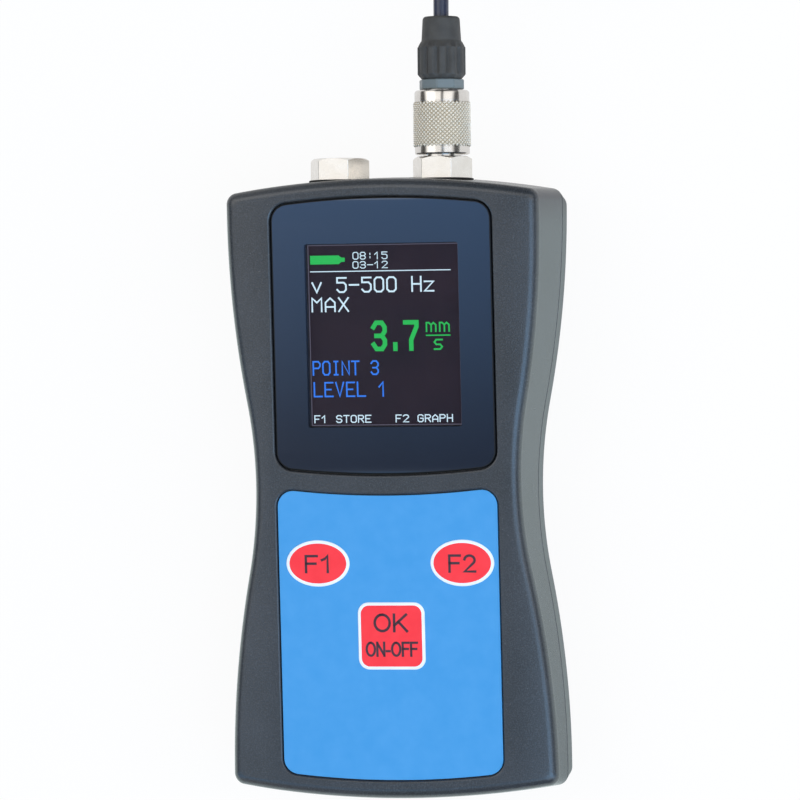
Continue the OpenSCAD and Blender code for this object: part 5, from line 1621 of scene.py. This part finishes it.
def make_wires():
    """Short bent wires from the socket contacts to both sides of the board."""
    tail_y, edge, reach = BARREL_Y - CONTACT_TAIL, BOARD_LEN / 2, CONTACT_RING_R * cos(pi / 4)
    wire_r, lift = 0.4, 0.45
    over, under = BOARD_TOP + lift, BOARD_TOP - BOARD_T - lift
    high, low = SOCKET_Z + reach, SOCKET_Z - reach
    parts = []
    for x in (-SOCKET_X, SOCKET_X):
        for side in (-1, 1):
            u, v, w = x + side * reach, x + side * reach * 1.2, x + side * reach * 1.4
            above = [(u, tail_y, high), (u, tail_y - 0.6, high), (v, edge + 0.2, over + 0.3),
                     (w, edge - 1, over), (w, edge - 2.5, over)]
            beneath = [(u, tail_y, low), (u, tail_y - 0.4, low), (v, edge + 0.7, under), (w, edge - 1, under),
                       (w, edge - 2.5, under)]
            parts += [tube(smooth_path(points, 5), wire_r, 10) for points in (above, beneath)]
    finish_piece("contact_wires", joined(parts), "wire", stands_for=["socket_wires"],
                 crease=60)


# Sensor

def on_sensor():
    """Frame of the sensor: Z of the form runs up its middle."""
    return Matrix.Translation((SENSOR_X, SENSOR_Y, 0))


def make_sensor():
    """Turned sensor body on a magnetic base, with a fluted cable gland at its side."""
    foot, r = MAGNET_H + 0.05, SENSOR_R
    top = foot + SENSOR_H
    walls = [(2.55, foot), (r - 0.6, foot), (r - 0.5, foot + 0.08), (r, foot + 0.6), (r, foot + 9.6),
             (r - 0.22, foot + 9.8), (r - 0.22, foot + 10.4), (r, foot + 10.6), (r, top - 1.4),
             (r - 1.3, top - 0.12), (r - 1.45, top - 0.02), (3.2, top), (3.0, top - 0.12), (0, top - 0.12)]
    cuts = []
    for k in range(2):
        flat = block(r - 0.35, r + 2, -4.5, 4.5, foot + 1.2, foot + 5.2)
        cuts.append(placed(flat, Matrix.Rotation(radians(62 + 180 * k), 4, "Z")))
    stem = Matrix.Rotation(radians(GLAND_TURN), 4, "Z") @ Matrix.Translation((0, 0, GLAND_Z))
    stem = stem @ Matrix.Rotation(pi / 2, 4, "Y")
    cuts.append(placed(turned([(0, r - 1.1), (2.05, r - 1.1), (2.05, r + 4), (0, r + 4)], 32), stem))
    case = carve(turned(walls, 96), *cuts)
    finish_piece("sensor_case", placed(case, on_sensor()), "sensor", stands_for=["sensor_body"],
                 crease=24)
    base = [(0, 0), (MAGNET_R - 0.5, 0), (MAGNET_R - 0.08, 0.5), (MAGNET_R, 0.7), (MAGNET_R, MAGNET_H - 0.8),
            (MAGNET_R - 0.8, MAGNET_H - 0.05), (MAGNET_R - 0.9, MAGNET_H), (2.45, MAGNET_H),
            (2.45, MAGNET_H + 3.6), (2.2, MAGNET_H + 3.8), (0, MAGNET_H + 3.8)]
    finish_piece("magnet_base", placed(turned(base, 96), on_sensor()), "magnet", stands_for=["sensor_magnet"],
                 crease=24)
    low, far, lead_r = r - 0.95, GLAND_FAR, LEAD_D / 2
    bore = lead_r + 0.04
    walls = [(bore, low), (1.98, low), (1.98, r + 0.12), (GLAND_R - 0.1, r + 0.12), (GLAND_R, r + 0.25)]
    walls += [(GLAND_R, r + 0.3 + 0.2 * i) for i in range(11)]
    walls += [(GLAND_R - 0.15, r + 2.5), (lead_r + 0.45, far - 0.15), (lead_r + 0.3, far), (bore, far)]

    def ribbed(q, h, a):
        if q < 2.3 or h > r + 2.45:
            return q
        return q - 0.12 * max(0.0, cos(16 * a))

    gland = placed(turned(walls, 128, closed=True, shape=ribbed), stem)
    finish_piece("lead_gland", placed(gland, on_sensor()), "boot", stands_for=["sensor_gland"],
                 crease=30)


lead, lead_length, lead_line = make_lead()
make_tie()
make_boot()
make_collar()
make_ring()
make_sleeve()
for socket_name, where in (("data_socket", -SOCKET_X), ("sensor_socket", SOCKET_X)):
    make_socket(socket_name, socket_name.replace("socket", "hex_body"), where)
    make_insert(socket_name + "_insert", socket_name.replace("socket", "contact_carrier"), where)
    make_contacts(socket_name + "_contacts", socket_name.replace("socket", "contact_set"), where)
make_washers()
make_lens()
make_screen()
make_keypad()
make_cover()
make_cells()
make_springs()
pressed_copy("circuit_board", "main_board", "board", 0.08)
make_chips()
make_cans()
pressed_copy("choke", "board_choke", "ferrite", 0.25)
pressed_copy("cable_connectors", "flex_connectors", "ivory", 0.08)
make_screws("board_screw_set", "board_screws", corners_of(POST_X, POST_Y), 1.8, 1.0, POST_SCREW_R, 4.0,
            BOARD_TOP - BOARD_T, 0.5)
make_screws("case_screw_set", "case_screws", corners_of(SCREW_X, SCREW_Y), SCREW_HEAD_R, 1.6, SCREW_R,
            SCREW_LEN, SCREW_SINK, 0.7)
make_wires()
make_sensor()
pressed_copy("barrel_nuts", "socket_nuts", "nickel", 0.2, 25)
pressed_copy("cell_plates", "contact_plates", "steel", 0.06)
LEAD_Y * MM
lead_length * MM
[tuple(p * MM) for p in lead_line]


# Stage

def dress(node, finish):
    """Gives a CAD node that stays its material."""
    nodes[node].data.materials.clear()
    nodes[node].data.materials.append(finishes[finish])


def make_floor():
    """White floor that shows as plain white where no shadow falls, and lets the camera look up through it.

    Mirrored in the object, it is brighter and cooler beside the housing and greyer beyond its top end.
    """
    f = Finish("floor_white")
    rays = f.node("ShaderNodeLightPath").socket.node.outputs
    camera, mirrored = Wire(f, rays["Is Camera Ray"]), Wire(f, rays["Is Glossy Ray"])
    seen = camera.maths("MAXIMUM", mirrored).maths("MAXIMUM", Wire(f, rays["Is Transmission Ray"]))
    below = Wire(f, f.node("ShaderNodeNewGeometry").socket.node.outputs["Backfacing"])
    _, y, _ = f.parts(f.place)

    def light(red, green, blue):
        return f.node("ShaderNodeEmission", None, (red, green, blue, 1.0), 1.0)

    def mix(factor, first, second):
        return f.node("ShaderNodeMixShader", None, factor, first, second)

    paper = f.node("ShaderNodeBsdfDiffuse", None, (0.86, 0.87, 0.88, 1.0))
    reflected = mix(f.ramp(y, 57.0, 50.0), light(0.86, 0.86, 0.86), light(1.16, 1.32, 1.3))
    top = mix(seen * 0.93, paper, mix(mirrored, light(1.0, 1.0, 1.0), reflected))
    f.done(mix(below * camera, top, f.node("ShaderNodeBsdfTransparent")))
    half, low = 6.0, -0.00012  # metres
    mesh = bpy.data.meshes.new("floor")
    mesh.from_pydata([(x, y, low) for x, y in oblong(-half, -half, half, half)], [], [(0, 1, 2, 3)])
    mesh.materials.append(f.material)
    new_object("floor", mesh)


def softbox(name, place, width, height, power, colour, aim=(0.0, 0.0, 0.02)):
    """Rectangular lamp that fills shadows without a highlight of its own."""
    data = bpy.data.lights.new(name, "AREA")
    data.shape = "RECTANGLE"
    data.size, data.size_y = width, height
    data.energy = power
    data.color = colour
    lamp = bpy.data.objects.new(name, data)
    lamp.location = place
    lamp.rotation_euler = (Vector(aim) - Vector(place)).to_track_quat("-Z", "Y").to_euler()
    lamp.visible_glossy = False
    bpy.context.scene.collection.objects.link(lamp)


def light_the_scene():
    """A white backdrop for the camera, a room by direction for all else, and lamps that fill its shadows.

    The room has a bluish window on the right, a like light nearer the viewer, and warmer light overhead
    beyond the object, to its left and low round the horizon.
    """
    world = bpy.data.worlds.new("room")
    world.use_nodes = True
    sky = Board(world.node_tree)
    world.node_tree.nodes.clear()
    x, y, z = sky.parts(sky.node("ShaderNodeTexCoord", out="Generated"))

    def swell(value, low, high, start, end):
        soft = {"interpolation_type": "SMOOTHSTEP"}
        return sky.node("ShaderNodeMapRange", soft, value, low, high, start, end)

    window = swell(x, 0.0, 0.36, 0.0, 1.0) * swell(x, 0.72, 0.9, 1.0, 0.0)
    window = window * swell(y, -0.75, -0.45, 0.0, 1.0) * swell(y, -0.08, -0.01, 1.0, 0.0)
    gap = swell((x - 0.23).maths("ABSOLUTE"), 0.05, 0.13, 0.1, 1.0)
    ceiling = swell(y, -0.02, 0.04, 0.0, 1.0) * swell(y, 0.3, 0.6, 1.0, 0.0)
    ceiling = ceiling * swell(x.maths("ABSOLUTE"), 0.78, 0.94, 1.0, 0.0) * gap
    near = swell(y, -0.14, -0.3, 0.0, 1.0) * swell(y, -0.45, -0.7, 1.0, 0.0)
    left = swell(x, -0.2, -0.36, 0.0, 1.0) * swell(x, -0.9, -0.7, 0.0, 1.0)
    horizon = swell(z, 0.05, 0.3, 0.14, 0.05) * swell((y - 0.05).maths("ABSOLUTE"), 0.1, 0.35, 1.0, 0.3)
    power = window * 2.8 + ceiling * 1.2 + near * 0.9 + left * 0.5 + horizon + 0.03
    tint = sky.node("ShaderNodeMix", {"data_type": "RGBA"}, window.maths("MAXIMUM", near), out=2)
    tint.socket.node.inputs[6].default_value = (1.0, 0.985, 0.96, 1.0)
    tint.socket.node.inputs[7].default_value = (0.36, 0.64, 1.0, 1.0)
    room = sky.node("ShaderNodeBackground", None, tint, power)
    backdrop = sky.node("ShaderNodeBackground", None, (1.0, 1.0, 1.0, 1.0), 1.0)
    seen = Wire(sky, sky.node("ShaderNodeLightPath").socket.node.outputs["Is Camera Ray"])
    sky.node("ShaderNodeOutputWorld", None, sky.node("ShaderNodeMixShader", None, seen, room, backdrop))
    bpy.context.scene.world = world
    plain = (1.0, 1.0, 1.0)
    softbox("right_fill", (0.55, 0.10, 0.70), 0.40, 0.8, 1.15, (1.0, 0.94, 0.82))
    softbox("left_fill", (-0.50, 0.05, 0.75), 0.35, 0.7, 1.0, (1.0, 0.93, 0.8))
    softbox("near_fill", (0.05, -0.75, 0.60), 0.7, 0.2, 0.8, (1.0, 0.94, 0.82))
    softbox("far_fill", (0.05, 0.70, 0.60), 0.8, 0.25, 0.5, plain, (0.0, 0.05, 0.02))
    softbox("low_fill", (0.85, -0.05, 0.22), 0.3, 0.8, 3.0, plain)


for node, finish in (("lens_adhesive", "black_adhesive"), ("display_gasket", "foam"),
                     ("display_flex", "flex_film"), ("keypad_circuit", "keypad_base"),
                     ("key_domes", "dome_steel"), ("plug_insert", "insert"), ("plug_pins", "gold")):
    dress(node, finish)
make_floor()
light_the_scene()
bpy.context.scene.view_settings.view_transform = "Standard"
